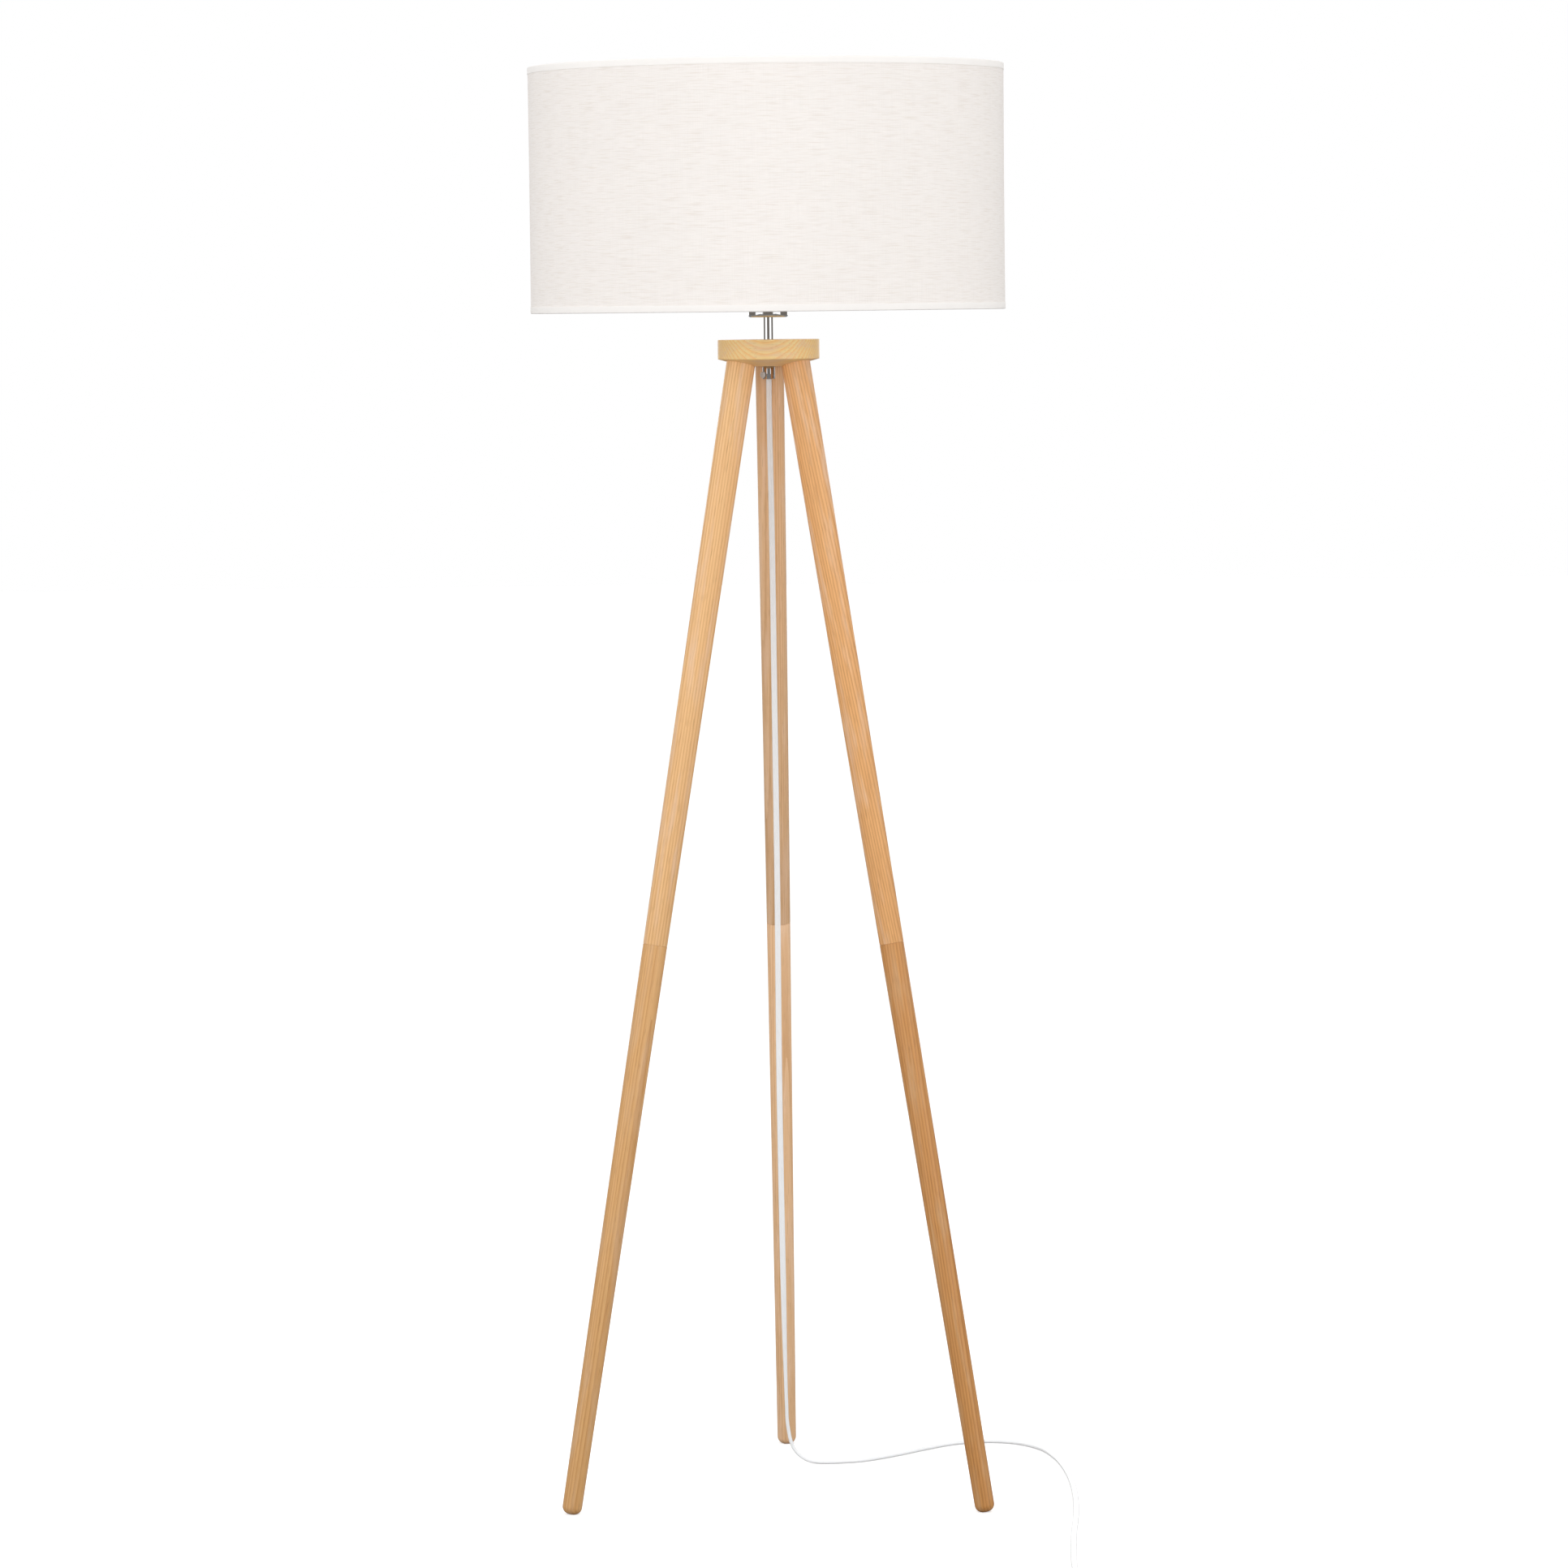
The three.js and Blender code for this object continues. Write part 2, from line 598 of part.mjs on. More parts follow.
const TO_PLUG_ROUTE = [
  [COIL_CENTRE[0] - 24, switchY, FLOOR_CORD_HEIGHT + CORD_THICKNESS],
  [50, switchY, 4.3],
  [32, switchY, 2.2],
  [16, switchY, 3],
  [4, switchY, 5.9],
  [-5, switchY, PLUG_BODY.thickness / 2],
  [PLUG_TAIL_END + GAP, switchY, PLUG_BODY.thickness / 2],
];

// A tube of the cord's flat eight-sided section along a route. Its wide side is level: that is
// the section's second direction where the route starts upright, and else the first.
function cordTube(route, steps) {
  const upright = Math.abs(route[1][2] - route[0][2]) > Math.abs(route[1][0] - route[0][0]);
  const half = [CORD_THICKNESS / 2, CORD_WIDTH / 2];
  if (!upright) half.reverse();
  const corner = 1;
  const section = [];
  for (const [x, y] of [[1, 1], [-1, 1], [-1, -1], [1, -1]]) {
    const side = [x * half[0], y * (half[1] - corner)];
    const end = [x * (half[0] - corner), y * half[1]];
    section.push(...(x * y > 0 ? [side, end] : [end, side]));
  }
  const points = route.map((point) => new THREE.Vector3(...point));
  const extrudePath = new THREE.CatmullRomCurve3(points, false, "centripetal");
  return new THREE.ExtrudeGeometry(polygon(section), { steps, extrudePath });
}

function makeCord() {
  place("cord_drop", cordTube(DROP_ROUTE, 18), CORD_PVC);
  const floorRoute = FLOOR_ROUTE.map((point) => [...point]);
  floorRoute[0][2] -= GAP;
  place("cord_floor", cordTube(floorRoute, 52), CORD_PVC);
  place("cord_to_coil", cordTube(TO_COIL_ROUTE, 4), CORD_PVC);
  place("cord_to_plug", cordTube(TO_PLUG_ROUTE, 8), CORD_PVC);

  const outer = COIL_OUTER_TURN + CORD_WIDTH / 2 + 0.4;
  const inner = COIL_OUTER_TURN - 1.5 * CORD_WIDTH - 0.4;
  const height = 2 * CORD_THICKNESS + 0.4;
  const coil = turned(ringProfile(inner, outer, 0, height), 32);
  place("cord_coil", coil.translate(...COIL_CENTRE, 0), CORD_PVC);

  // The last stretch of the cord, inside the grip, the tube and the lampholder's cap.
  const lead = cordTube([[0, 0, gripBottom + 0.2], [0, 0, 1220], [0, 0, TUBE_TOP + 1.6]], 3);
  place("inner_lead", lead, CORD_PVC);
}

// ---------------------------------------------------------------- foot switch

function stadium(length, width, corner) {
  const x = length / 2;
  const y = width / 2;
  const shape = new THREE.Shape();
  shape.moveTo(-x + corner, -y);
  shape.lineTo(x - corner, -y);
  shape.absarc(x - corner, -y + corner, corner, -90 * DEGREE, 0);
  shape.lineTo(x, y - corner);
  shape.absarc(x - corner, y - corner, corner, 0, 90 * DEGREE);
  shape.lineTo(-x + corner, y);
  shape.absarc(-x + corner, y - corner, corner, 90 * DEGREE, 180 * DEGREE);
  shape.lineTo(-x, -y + corner);
  shape.absarc(-x + corner, -y + corner, corner, 180 * DEGREE, 270 * DEGREE);
  return shape;
}

// A strain relief: a cone along X from a housing to the cord.
const tail = (from, to, height) =>
  turned([[0, from], [5.2, from], [3.9, to], [0, to]], 12)
    .rotateY(90 * DEGREE)
    .translate(0, 0, height);

function makeSwitch() {
  const group = new THREE.Group();
  group.position.set(SWITCH_X, switchY, 0);
  lamp.add(group);
  const { length, width, corner, base, cover, wall } = SWITCH;
  const outline = stadium(length, width, corner);
  const inside = stadium(length - 2 * wall, width - 2 * wall, corner - wall);
  const posts = [-1, 1].map((side) => side * (length / 2 - 9));
  const at = (geometry, x) => geometry.clone().translate(x, 0, 0);

  const reach = length / 2 + SWITCH_TAIL;
  const relief = cut(
    tail(length / 2 - 4, reach, TAIL_HEIGHT),
    new THREE.BoxGeometry(40, 20, 4).translate(length / 2 + 10, 0, -2),
  );
  const shellBase = cut(raised(outline, 0, base), raised(inside, wall, base + 1));
  const basePosts = posts.map((x) => at(rod(3.6, 1, base, 12), x));
  const screwHoles = posts.map((x) => at(rod(1.6, -1, base + 1, 10), x));
  const headSeats = posts.map((x) => at(rod(3.1, -1, 2.6, 12), x));
  const tails = [relief, relief.clone().rotateZ(180 * DEGREE)];
  const baseSolid = join(shellBase, ...tails, ...basePosts);
  const cavity = raised(inside, wall, base + 1);
  const core = cut(cavity, ...posts.map((x) => at(rod(3.6, 0, base + 2, 12), x)));
  place("switch_base", cut(baseSolid, core, ...screwHoles, ...headSeats), WHITE_PLASTIC, group);

  const coverBottom = base + GAP;
  const coverTop = coverBottom + cover;
  const lid = cut(
    raised(outline, coverBottom, coverTop),
    raised(inside, coverBottom - 1, coverTop - wall),
    rod(BUTTON_RADIUS + 0.5, coverBottom, coverTop + 1, 24),
  );
  const coverPosts = posts.map((x) => at(rod(3.6, coverBottom, coverTop - 1, 12), x));
  const blindHoles = posts.map((x) => at(rod(1.6, coverBottom - 1, coverBottom + 8, 10), x));
  place("switch_cover", cut(join(lid, ...coverPosts), ...blindHoles), WHITE_PLASTIC, group);

  const screw = turned([[0, 0.4], [2.7, 0.4], [2.7, 2.2], [1.3, 2.2], [1.3, 17], [0, 17.6]], 10);
  place("switch_screw_in", at(screw, posts[1]), ZINC, group);
  place("switch_screw_out", at(screw, posts[0]), ZINC, group);

  const block = new THREE.BoxGeometry(24, 16, 9).translate(0, 0, wall + GAP + 4.5);
  place("switch_mechanism", block, WHITE_PLASTIC, group);

  const lip = coverTop - wall - GAP;
  const plungerTip = wall + GAP + 9 + BUTTON_TRAVEL + GAP;
  const button = turned([
    [0, plungerTip],
    [3, plungerTip],
    [3, lip - 2],
    [BUTTON_RADIUS + 2, lip - 2],
    [BUTTON_RADIUS + 2, lip],
    [BUTTON_RADIUS, lip],
    ...arc(BUTTON_RADIUS - 2, coverTop + 2, 2, 0, 90, 2),
    [0, coverTop + 4.6],
  ]);
  place("switch_button", button, WHITE_PLASTIC, group);
}

// ---------------------------------------------------------------- plug

// A flat two-pin plug that lies on the floor with its pins towards -X.
function makePlug() {
  const group = new THREE.Group();
  const front = PLUG_TAIL_END - PLUG_TAIL - PLUG_BODY.length;
  group.position.set(front, switchY, PLUG_BODY.thickness / 2);
  lamp.add(group);
  const bevel = 2.4;
  const { length, halfWidth, thickness } = PLUG_BODY;
  const w = halfWidth - bevel;
  const outline = polygon([
    [bevel, -w + 1.5], [9, -w], [20, -w + 3], [length - bevel, -5],
    [length - bevel, 5], [20, w - 3], [9, w], [bevel, w - 1.5],
  ]);
  const depth = thickness - 2 * bevel;
  const options = { depth, bevelSize: bevel, bevelThickness: bevel, bevelSegments: 2 };
  const body = new THREE.ExtrudeGeometry(outline, options).translate(0, 0, -depth / 2);
  const relief = tail(length - 4, length + PLUG_TAIL, 0);
  const sides = { front: -PIN.spacing / 2, back: PIN.spacing / 2 };
  const lay = (geometry, y) => geometry.rotateY(90 * DEGREE).translate(0, y, 0);
  const seats = Object.values(sides).map((y) => lay(rod(PIN.radius + GAP, -2, PIN.seat, 12), y));
  place("plug_body", cut(join(body, relief), ...seats), WHITE_PLASTIC, group);
  for (const [side, y] of Object.entries(sides)) {
    const pin = turned([
      [0, -PIN.length],
      [PIN.radius - 0.8, -PIN.length],
      [PIN.radius, -PIN.length + 1],
      [PIN.radius, PIN.seat - GAP],
      [0, PIN.seat - GAP],
    ], 12);
    place(`plug_pin_${side}`, lay(pin, y), NICKEL, group);
  }
}

makeHub();
makeLegs();
makeTube();
makeCordGrip();
makeCup();
makeLampholder();
makeShadeRingNut();
makeBulb();
makeShade();
makeSpider();
makeCord();
makeSwitch();
makePlug();

export default lamp;
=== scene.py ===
"""Looks of a tripod floor lamp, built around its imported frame: oak legs and hub, chrome stem,
fabric drum shade, and a flat cord with a foot switch and a plug. Metres, +Z up, -Y the front."""
import math

import bmesh
import bpy
from bpy.props import FloatProperty, FloatVectorProperty, IntProperty, PointerProperty
from mathutils import Matrix, Vector


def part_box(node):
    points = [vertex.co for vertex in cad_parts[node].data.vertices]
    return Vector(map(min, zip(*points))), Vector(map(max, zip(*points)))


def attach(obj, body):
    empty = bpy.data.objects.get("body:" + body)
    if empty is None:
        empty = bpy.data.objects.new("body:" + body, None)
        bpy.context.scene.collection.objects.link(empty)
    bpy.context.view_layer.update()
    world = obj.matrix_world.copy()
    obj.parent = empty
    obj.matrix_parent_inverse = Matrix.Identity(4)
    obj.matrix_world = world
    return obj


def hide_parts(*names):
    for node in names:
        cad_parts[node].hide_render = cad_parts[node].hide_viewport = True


bl_info = {
    "name": "Tripod Floor Lamp",
    "version": (1, 0, 0),
    "blender": (4, 5, 0),
    "location": "View3D > Sidebar > Lamp",
    "description": "Builds the visible pieces of a tripod floor lamp around its frame",
    "category": "Object",
}

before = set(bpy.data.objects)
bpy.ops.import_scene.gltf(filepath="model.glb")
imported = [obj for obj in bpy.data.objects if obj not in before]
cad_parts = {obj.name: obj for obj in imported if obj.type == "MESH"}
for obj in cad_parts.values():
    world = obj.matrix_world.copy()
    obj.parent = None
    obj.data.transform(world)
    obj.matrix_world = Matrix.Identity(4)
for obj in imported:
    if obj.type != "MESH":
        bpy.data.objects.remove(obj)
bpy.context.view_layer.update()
MM = 0.001

# ---------------------------------------------------------------- sizes from the frame

HUB_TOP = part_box("hub")[1].z
HUB_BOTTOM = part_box("hub")[0].z
HUB_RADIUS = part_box("hub")[1].x
RIM_BOTTOM = HUB_TOP - 20 * MM
HUB_FLAT_RADIUS = 25.5 * MM
HUB_BORE_RADIUS = 5.4 * MM
NUT_SEAT_RADIUS = 8.6 * MM
NUT_SEAT_DEPTH = 5 * MM

LEG_AZIMUTHS = {"rear": 90, "left": 210, "right": 330}
FOOT_CIRCLE_RADIUS = 251.2 * MM
HUB_CIRCLE_RADIUS = 32.4 * MM
LEG_FOOT_RADIUS = 10.3 * MM
LEG_TOP_RADIUS = 15.25 * MM
FOOT_ROUNDING = 8 * MM
FOOT_FLAT_DEPTH = 0.4 * MM
LEG_JOINT = 604 * MM
STUD_HOLE_RADIUS = 4.3 * MM
INSERT_HOLE_RADIUS = 6.3 * MM
WOOD_HOLE_DEPTH = 30 * MM

SPLAY = math.atan((FOOT_CIRCLE_RADIUS - HUB_CIRCLE_RADIUS) / RIM_BOTTOM)
FOOT_DROP = FOOT_ROUNDING * (1 - math.cos(SPLAY)) + (LEG_FOOT_RADIUS - FOOT_ROUNDING) * math.sin(SPLAY)
BEVEL_SLOPE = (RIM_BOTTOM - HUB_BOTTOM) / (HUB_RADIUS - HUB_FLAT_RADIUS)
MEETING_HEIGHT = (HUB_BOTTOM + (FOOT_CIRCLE_RADIUS - HUB_FLAT_RADIUS) * BEVEL_SLOPE) / (
    1 + math.tan(SPLAY) * BEVEL_SLOPE
)
LEG_LENGTH = MEETING_HEIGHT / math.cos(SPLAY)

SHADE_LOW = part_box("shade_hem_bottom")[0].z
SHADE_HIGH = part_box("shade_hem_top")[1].z
SHADE_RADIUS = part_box("shade_hem_top")[1].x
SKIN_SHEET = 0.6 * MM
TAPE = 0.32 * MM
SKIN_RADIUS = SHADE_RADIUS - TAPE - 0.06 * MM - SKIN_SHEET / 2  # to the middle of the cloth
SEAM_AZIMUTH = 90  # the shade's seam faces the rear leg
RING_WIRE = 4 * MM
HEM_SLACK = 0.8 * MM  # between a ring's wire and the tape folded round it

CORD_WIDTH = 6.2 * MM
CORD_THICKNESS = 3.7 * MM
SWITCH_LOW, SWITCH_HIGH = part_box("switch_cover")
LINE_Y = (SWITCH_LOW.y + SWITCH_HIGH.y) / 2  # switch, coil's front and plug lie in one line
SWITCH_X = (SWITCH_LOW.x + SWITCH_HIGH.x) / 2
COIL_LOW, COIL_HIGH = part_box("cord_coil")
COIL_CENTRE = (COIL_LOW + COIL_HIGH) / 2

# ---------------------------------------------------------------- settings


def linear(code):
    """An sRGB hex colour as linear RGBA."""
    values = [int(code[i : i + 2], 16) / 255 for i in (1, 3, 5)]
    return (*(v / 12.92 if v <= 0.04045 else ((v + 0.055) / 1.055) ** 2.4 for v in values), 1.0)


def deepen(shade, *shares):
    """A colour with its channels multiplied by a share each, or all three by the same."""
    if len(shares) == 1:
        shares *= 3
    return (*(value * share for value, share in zip(shade, shares)), 1.0)


def length(name, description, millimetres):
    return FloatProperty(name=name, description=description, default=millimetres * MM, unit="LENGTH")


def colour(name, description, code):
    return FloatVectorProperty(
        name=name, description=description, default=linear(code), size=4, subtype="COLOR", min=0, max=1
    )


class LampSizes(bpy.types.PropertyGroup):
    """Sizes of the small details that the frame leaves open"""

    hub_edge: length("Hub edge", "Radius of the hub's rounded edges", 0.9)
    leg_edge: length("Leg edge", "Chamfer on a leg's ends at the joint", 0.45)
    joint_gap: length("Joint gap", "Hairline between the halves of a leg", 0.12)
    growth_ring: length("Growth ring", "Mean width of a growth ring in the oak", 3.0)
    pore_width: length("Pore width", "Width of the oak's open pores, drawn coarse enough to show", 0.9)
    seam_overlap: length("Seam overlap", "How far the shade's fabric laps over itself at the back", 14)
    thread_pitch: length("Thread pitch", "Spacing of the linen's threads, drawn coarse to show", 0.9)
    slub_length: length("Slub length", "Mean length of the thick places in the weft", 26)
    round_sides: IntProperty(
        name="Round sides", description="Sides of the finely turned pieces", default=96, min=24, max=256
    )


class LampColours(bpy.types.PropertyGroup):
    """Colours of the finishes"""

    oak_left: colour("Left leg", "Latewood of the left leg", "#f9ca92")
    oak_left_dark: colour("Left leg, dark", "Earlywood of the left leg", "#d8a167")
    oak_right: colour("Right leg", "Latewood of the right leg", "#f2b97c")
    oak_right_dark: colour("Right leg, dark", "Earlywood of the right leg", "#ca8d54")
    oak_rear: colour("Rear leg", "Latewood of the rear leg", "#ebc297")
    oak_rear_dark: colour("Rear leg, dark", "Earlywood of the rear leg", "#cf9f6f")
    oak_hub: colour("Hub", "Latewood of the hub", "#ffdf9f")
    oak_hub_dark: colour("Hub, dark", "Earlywood of the hub", "#fdbf76")
    oak_ray: colour("Rays", "Pinkish medullary rays in the oak", "#f2cfb0")
    linen: colour("Linen", "Ground colour of the shade's fabric", "#f5f0ec")
    linen_slub: colour("Slubs", "Thick, unbleached places in the linen's weft", "#e2d9d0")
    hem: colour("Hem tape", "Smooth tape round the shade's edges", "#f9f6f3")
    cord: colour("Cord", "Clear-white sheath of the cord", "#eef0f2")
    plastic: colour("White plastic", "Moulded lampholder, switch and plug", "#f1f1ee")


# ---------------------------------------------------------------- modelling helpers


def start_clean():
    """Object mode with nothing selected, so that an operator acts on its own piece only."""
    if bpy.context.mode != "OBJECT":
        bpy.ops.object.mode_set(mode="OBJECT")
    bpy.ops.object.select_all(action="DESELECT")


def take(piece):
    """Makes a piece the only selected and the active object."""
    start_clean()
    piece.select_set(True)
    bpy.context.view_layer.objects.active = piece


def select(piece, kind, test):
    """In edit mode, selects the vertices, edges or faces whose middle and normal pass the test."""
    bpy.ops.mesh.select_all(action="DESELECT")
    bpy.ops.mesh.select_mode(type=kind)
    shape = bmesh.from_edit_mesh(piece.data)
    for part in {"VERT": shape.verts, "EDGE": shape.edges, "FACE": shape.faces}[kind]:
        if kind == "VERT":
            part.select_set(test(part.co, part.normal))
        elif kind == "EDGE":
            first, second = (v.co for v in part.verts)
            part.select_set(test((first + second) / 2, second - first))
        else:
            part.select_set(test(part.calc_center_median(), part.normal))
    shape.select_flush_mode()
    bmesh.update_edit_mesh(piece.data)


def apply_place(piece):
    """Leaves a piece's place in its mesh, with its own origin at the lamp's."""
    take(piece)
    bpy.ops.object.transform_apply(location=True, rotation=True, scale=True)
    return piece


def put(piece, place):
    """Moves a piece by a matrix and leaves that place in its mesh."""
    piece.matrix_world = place @ piece.matrix_world
    return apply_place(piece)


def edit(piece):
    """Edit mode with everything selected."""
    take(piece)
    bpy.ops.object.mode_set(mode="EDIT")
    bpy.ops.mesh.select_all(action="SELECT")


def close(piece):
    """Turns every face outwards and goes back to object mode."""
    bpy.ops.mesh.select_all(action="SELECT")
    bpy.ops.mesh.normals_make_consistent(inside=False)
    bpy.ops.object.mode_set(mode="OBJECT")
    return piece


def named(piece, name):
    """Gives a piece and its mesh one name."""
    piece.name = piece.data.name = name
    return piece


def turned(name, profile, sides=96, closed=False):
    """A piece turned on a lathe about Z: a ring of edges extruded and scaled from one point of its
    profile to the next. A closed profile ends where it began; any other is filled at both ends."""
    start_clean()
    radius, height = profile[0]
    bpy.ops.mesh.primitive_circle_add(vertices=sides, radius=radius, location=(0, 0, height))
    piece = named(bpy.context.object, name)
    apply_place(piece)
    edit(piece)
    bpy.ops.mesh.select_mode(type="EDGE")
    for next_radius, next_height in profile[1:]:
        rise = (0, 0, next_height - height)
        bpy.ops.mesh.extrude_region_move(TRANSFORM_OT_translate={"value": rise})
        scale = next_radius / radius
        bpy.ops.transform.resize(value=(scale, scale, 1), center_override=(0, 0, next_height))
        radius, height = next_radius, next_height
    bpy.ops.mesh.select_all(action="SELECT")
    bpy.ops.mesh.remove_doubles(threshold=1e-6)
    if not closed:
        bpy.ops.mesh.fill_holes(sides=0)
    return close(piece)


def arc(radius, height, size, start, end, steps):
    """Points of a profile on an arc, from one angle to another in degrees."""
    angles = [math.radians(start + (end - start) * i / steps) for i in range(steps + 1)]
    return [(radius + size * math.cos(a), height + size * math.sin(a)) for a in angles]


def rim(outer, low, high, edge, steps):
    """A profile's outer wall from low to high, with both edges rounded."""
    return [
        *arc(outer - edge, low + edge, edge, -90, 0, steps),
        *arc(outer - edge, high - edge, edge, 0, 90, steps),
    ]


def rounded_box(name, low, high, corner, edge, sides=8):
    """A box with rounded upright corners and softly bevelled top and bottom edges."""
    start_clean()
    low, high = Vector(low), Vector(high)
    bpy.ops.mesh.primitive_cube_add(size=1, location=(low + high) / 2, scale=high - low)
    piece = named(bpy.context.object, name)
    apply_place(piece)
    edit(piece)
    select(piece, "EDGE", lambda middle, along: abs(along.z) > 0.9 * along.length)
    bpy.ops.mesh.bevel(offset=corner, segments=sides, affect="EDGES")
    if edge:
        ends = (low.z, high.z)
        select(
            piece,
            "EDGE",
            lambda middle, along: abs(along.z) < 1e-6 and min(abs(middle.z - z) for z in ends) < 1e-6,
        )
        bpy.ops.mesh.bevel(offset=edge, segments=4, affect="EDGES")
    bpy.ops.object.mode_set(mode="OBJECT")
    return piece


def combine(piece, tool, operation="DIFFERENCE"):
    """Cuts a tool out of a piece, or joins it on, and removes the tool."""
    change = piece.modifiers.new(operation.lower(), "BOOLEAN")
    change.operation = operation
    change.solver = "EXACT"
    change.object = tool
    take(piece)
    bpy.ops.object.modifier_apply(modifier=change.name)
    bpy.data.objects.remove(tool)
    return piece


def drill(piece, radius, start, end, place):
    """Cuts a round hole from start to end along a place's +Z."""
    return combine(piece, put(turned("hole", [(radius, start), (radius, end)], 32), place))


def soften(piece, width, segments):
    """Rounds a piece's sharp edges."""
    change = piece.modifiers.new("soft edges", "BEVEL")
    change.width = width
    change.segments = segments
    change.limit_method = "ANGLE"
    change.angle_limit = math.radians(40)
    take(piece)
    bpy.ops.object.modifier_apply(modifier=change.name)
    return piece


def copy_of(piece, name):
    copy = piece.copy()
    copy.data = piece.data.copy()
    bpy.context.scene.collection.objects.link(copy)
    return named(copy, name)


def finish_piece(piece, materials, body, replaced=(), smooth=35):
    """Gives a piece its finishes, its smooth shading, its body and the nodes that it stands for."""
    take(piece)
    if smooth:
        bpy.ops.object.shade_smooth_by_angle(angle=math.radians(smooth))
    piece.data.materials.clear()
    for material in materials if isinstance(materials, (list, tuple)) else [materials]:
        piece.data.materials.append(material)
    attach(piece, body)
    if replaced:
        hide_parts(*replaced)
    piece.select_set(False)
    return piece


# ---------------------------------------------------------------- finishes


def add(tree, kind, links=None, **settings):
    """Adds a shader node. Links are its inputs, as values or as other nodes' outputs."""
    node = tree.nodes.new("ShaderNode" + kind)
    for name, value in settings.items():
        setattr(node, name, value)
    for name, value in (links or {}).items():
        if isinstance(value, bpy.types.NodeSocket):
            tree.links.new(value, node.inputs[name])
        else:
            node.inputs[name].default_value = value
    return node


def new_finish(name, **constants):
    """A material with its Principled shader's own sockets set; returns it, its tree and the shader."""
    material = bpy.data.materials.new(name)
    material.use_nodes = True
    tree = material.node_tree
    shader = tree.nodes["Principled BSDF"]
    for word, value in constants.items():
        shader.inputs[SOCKETS[word]].default_value = value
    return material, tree, shader


SOCKETS = {
    "base": "Base Color",
    "metallic": "Metallic",
    "roughness": "Roughness",
    "ior": "IOR",
    "specular": "Specular IOR Level",
    "coat": "Coat Weight",
    "coat_roughness": "Coat Roughness",
    "sheen": "Sheen Weight",
    "sheen_roughness": "Sheen Roughness",
    "transmission": "Transmission Weight",
    "glow": "Emission Color",
    "glow_strength": "Emission Strength",
}

FINISHES = {}


def finish(name, maker, *values, **settings):
    """A finish made once and then shared."""
    if name not in FINISHES:
        FINISHES[name] = maker(name, *values, **settings)
    return FINISHES[name]


def drawn_out(tree, place, scale, size, texture, span):
    """A noise stretched by scale, whose texture is its detail and coarseness; and with it the same
    noise as a share that runs over a span."""
    stretched = add(tree, "Mapping", {"Vector": place, "Scale": scale}).outputs["Vector"]
    detail, coarseness = texture
    noise = add(
        tree,
        "TexNoise",
        {"Vector": stretched, "Scale": 1 / size, "Detail": detail, "Roughness": coarseness},
    ).outputs["Fac"]
    share = add(tree, "MapRange", {"Value": noise, "From Min": span[0], "From Max": span[1]})
    return noise, share.outputs["Result"]


def layered(tree, shade, layers):
    """A colour with tints laid over it, each by a share and a strength."""
    for share, strength, tint in layers:
        amount = add(tree, "Math", {0: share, 1: strength}, operation="MULTIPLY").outputs[0]
        shade = add(tree, "Mix", {0: amount, 6: shade, 7: tuple(tint)}, data_type="RGBA").outputs[2]
    return shade


def oiled_oak(name, light, dark, ray, ring, pore):
    """Oiled oak, sanded and satin. Rings of pale latewood and porous earlywood run round the pith,
    short dark pores and broad pinkish rays run along the grain, and the oil leaves a soft shine."""
    material, tree, shader = new_finish(name, ior=1.5, specular=0.45, coat=0.12, coat_roughness=0.35)
    place = add(tree, "Attribute", attribute_name="tree").outputs["Vector"]
    # A ring pattern has one period in 2 pi / 20 of its scaled distance from the pith.
    stretched = add(tree, "Mapping", {"Vector": place, "Scale": (1, 1, 0.04)}).outputs["Vector"]
    rings = add(
        tree,
        "TexWave",
        {
            "Vector": stretched,
            "Scale": math.tau / (20 * ring),
            "Distortion": 7.0,
            "Detail": 2.0,
            "Detail Scale": 0.3,
            "Detail Roughness": 0.45,
        },
        wave_type="RINGS",
        rings_direction="Z",
        wave_profile="SAW",
    ).outputs["Fac"]
    earlywood = add(
        tree,
        "MapRange",
        {"Value": rings, "From Min": 0.3, "From Max": 1.0, "To Min": 0.0, "To Max": 0.7},
        interpolation_type="SMOOTHSTEP",
    ).outputs["Result"]
    fine, stripes = drawn_out(tree, place, (1, 1, 0.03), 2.6 * pore, (3, 0.6), (0.32, 0.7))
    _, open_pores = drawn_out(tree, place, (1, 1, 0.05), pore, (1, 0.5), (0.6, 0.72))
    _, rays = drawn_out(tree, place, (1, 1, 0.12), 9 * MM, (2, 0.5), (0.5, 0.68))
    # Latewood to earlywood, then the rays, the fine stripes and last the pores.
    shade = add(tree, "Mix", {0: earlywood, 6: light, 7: dark}, data_type="RGBA").outputs[2]
    layers = [(rays, 0.55, ray), (stripes, 0.3, dark), (open_pores, 0.3, deepen(dark, 0.55))]
    tree.links.new(layered(tree, shade, layers), shader.inputs["Base Color"])
    rough = add(tree, "MapRange", {"Value": fine, "To Min": 0.34, "To Max": 0.5}).outputs["Result"]
    tree.links.new(rough, shader.inputs["Roughness"])
    relief = add(tree, "Math", {0: open_pores, 1: -1.0}, operation="MULTIPLY").outputs[0]
    bump = add(tree, "Bump", {"Height": relief, "Strength": 0.25, "Distance": 0.12 * MM})
    tree.links.new(bump.outputs["Normal"], shader.inputs["Normal"])
    return material


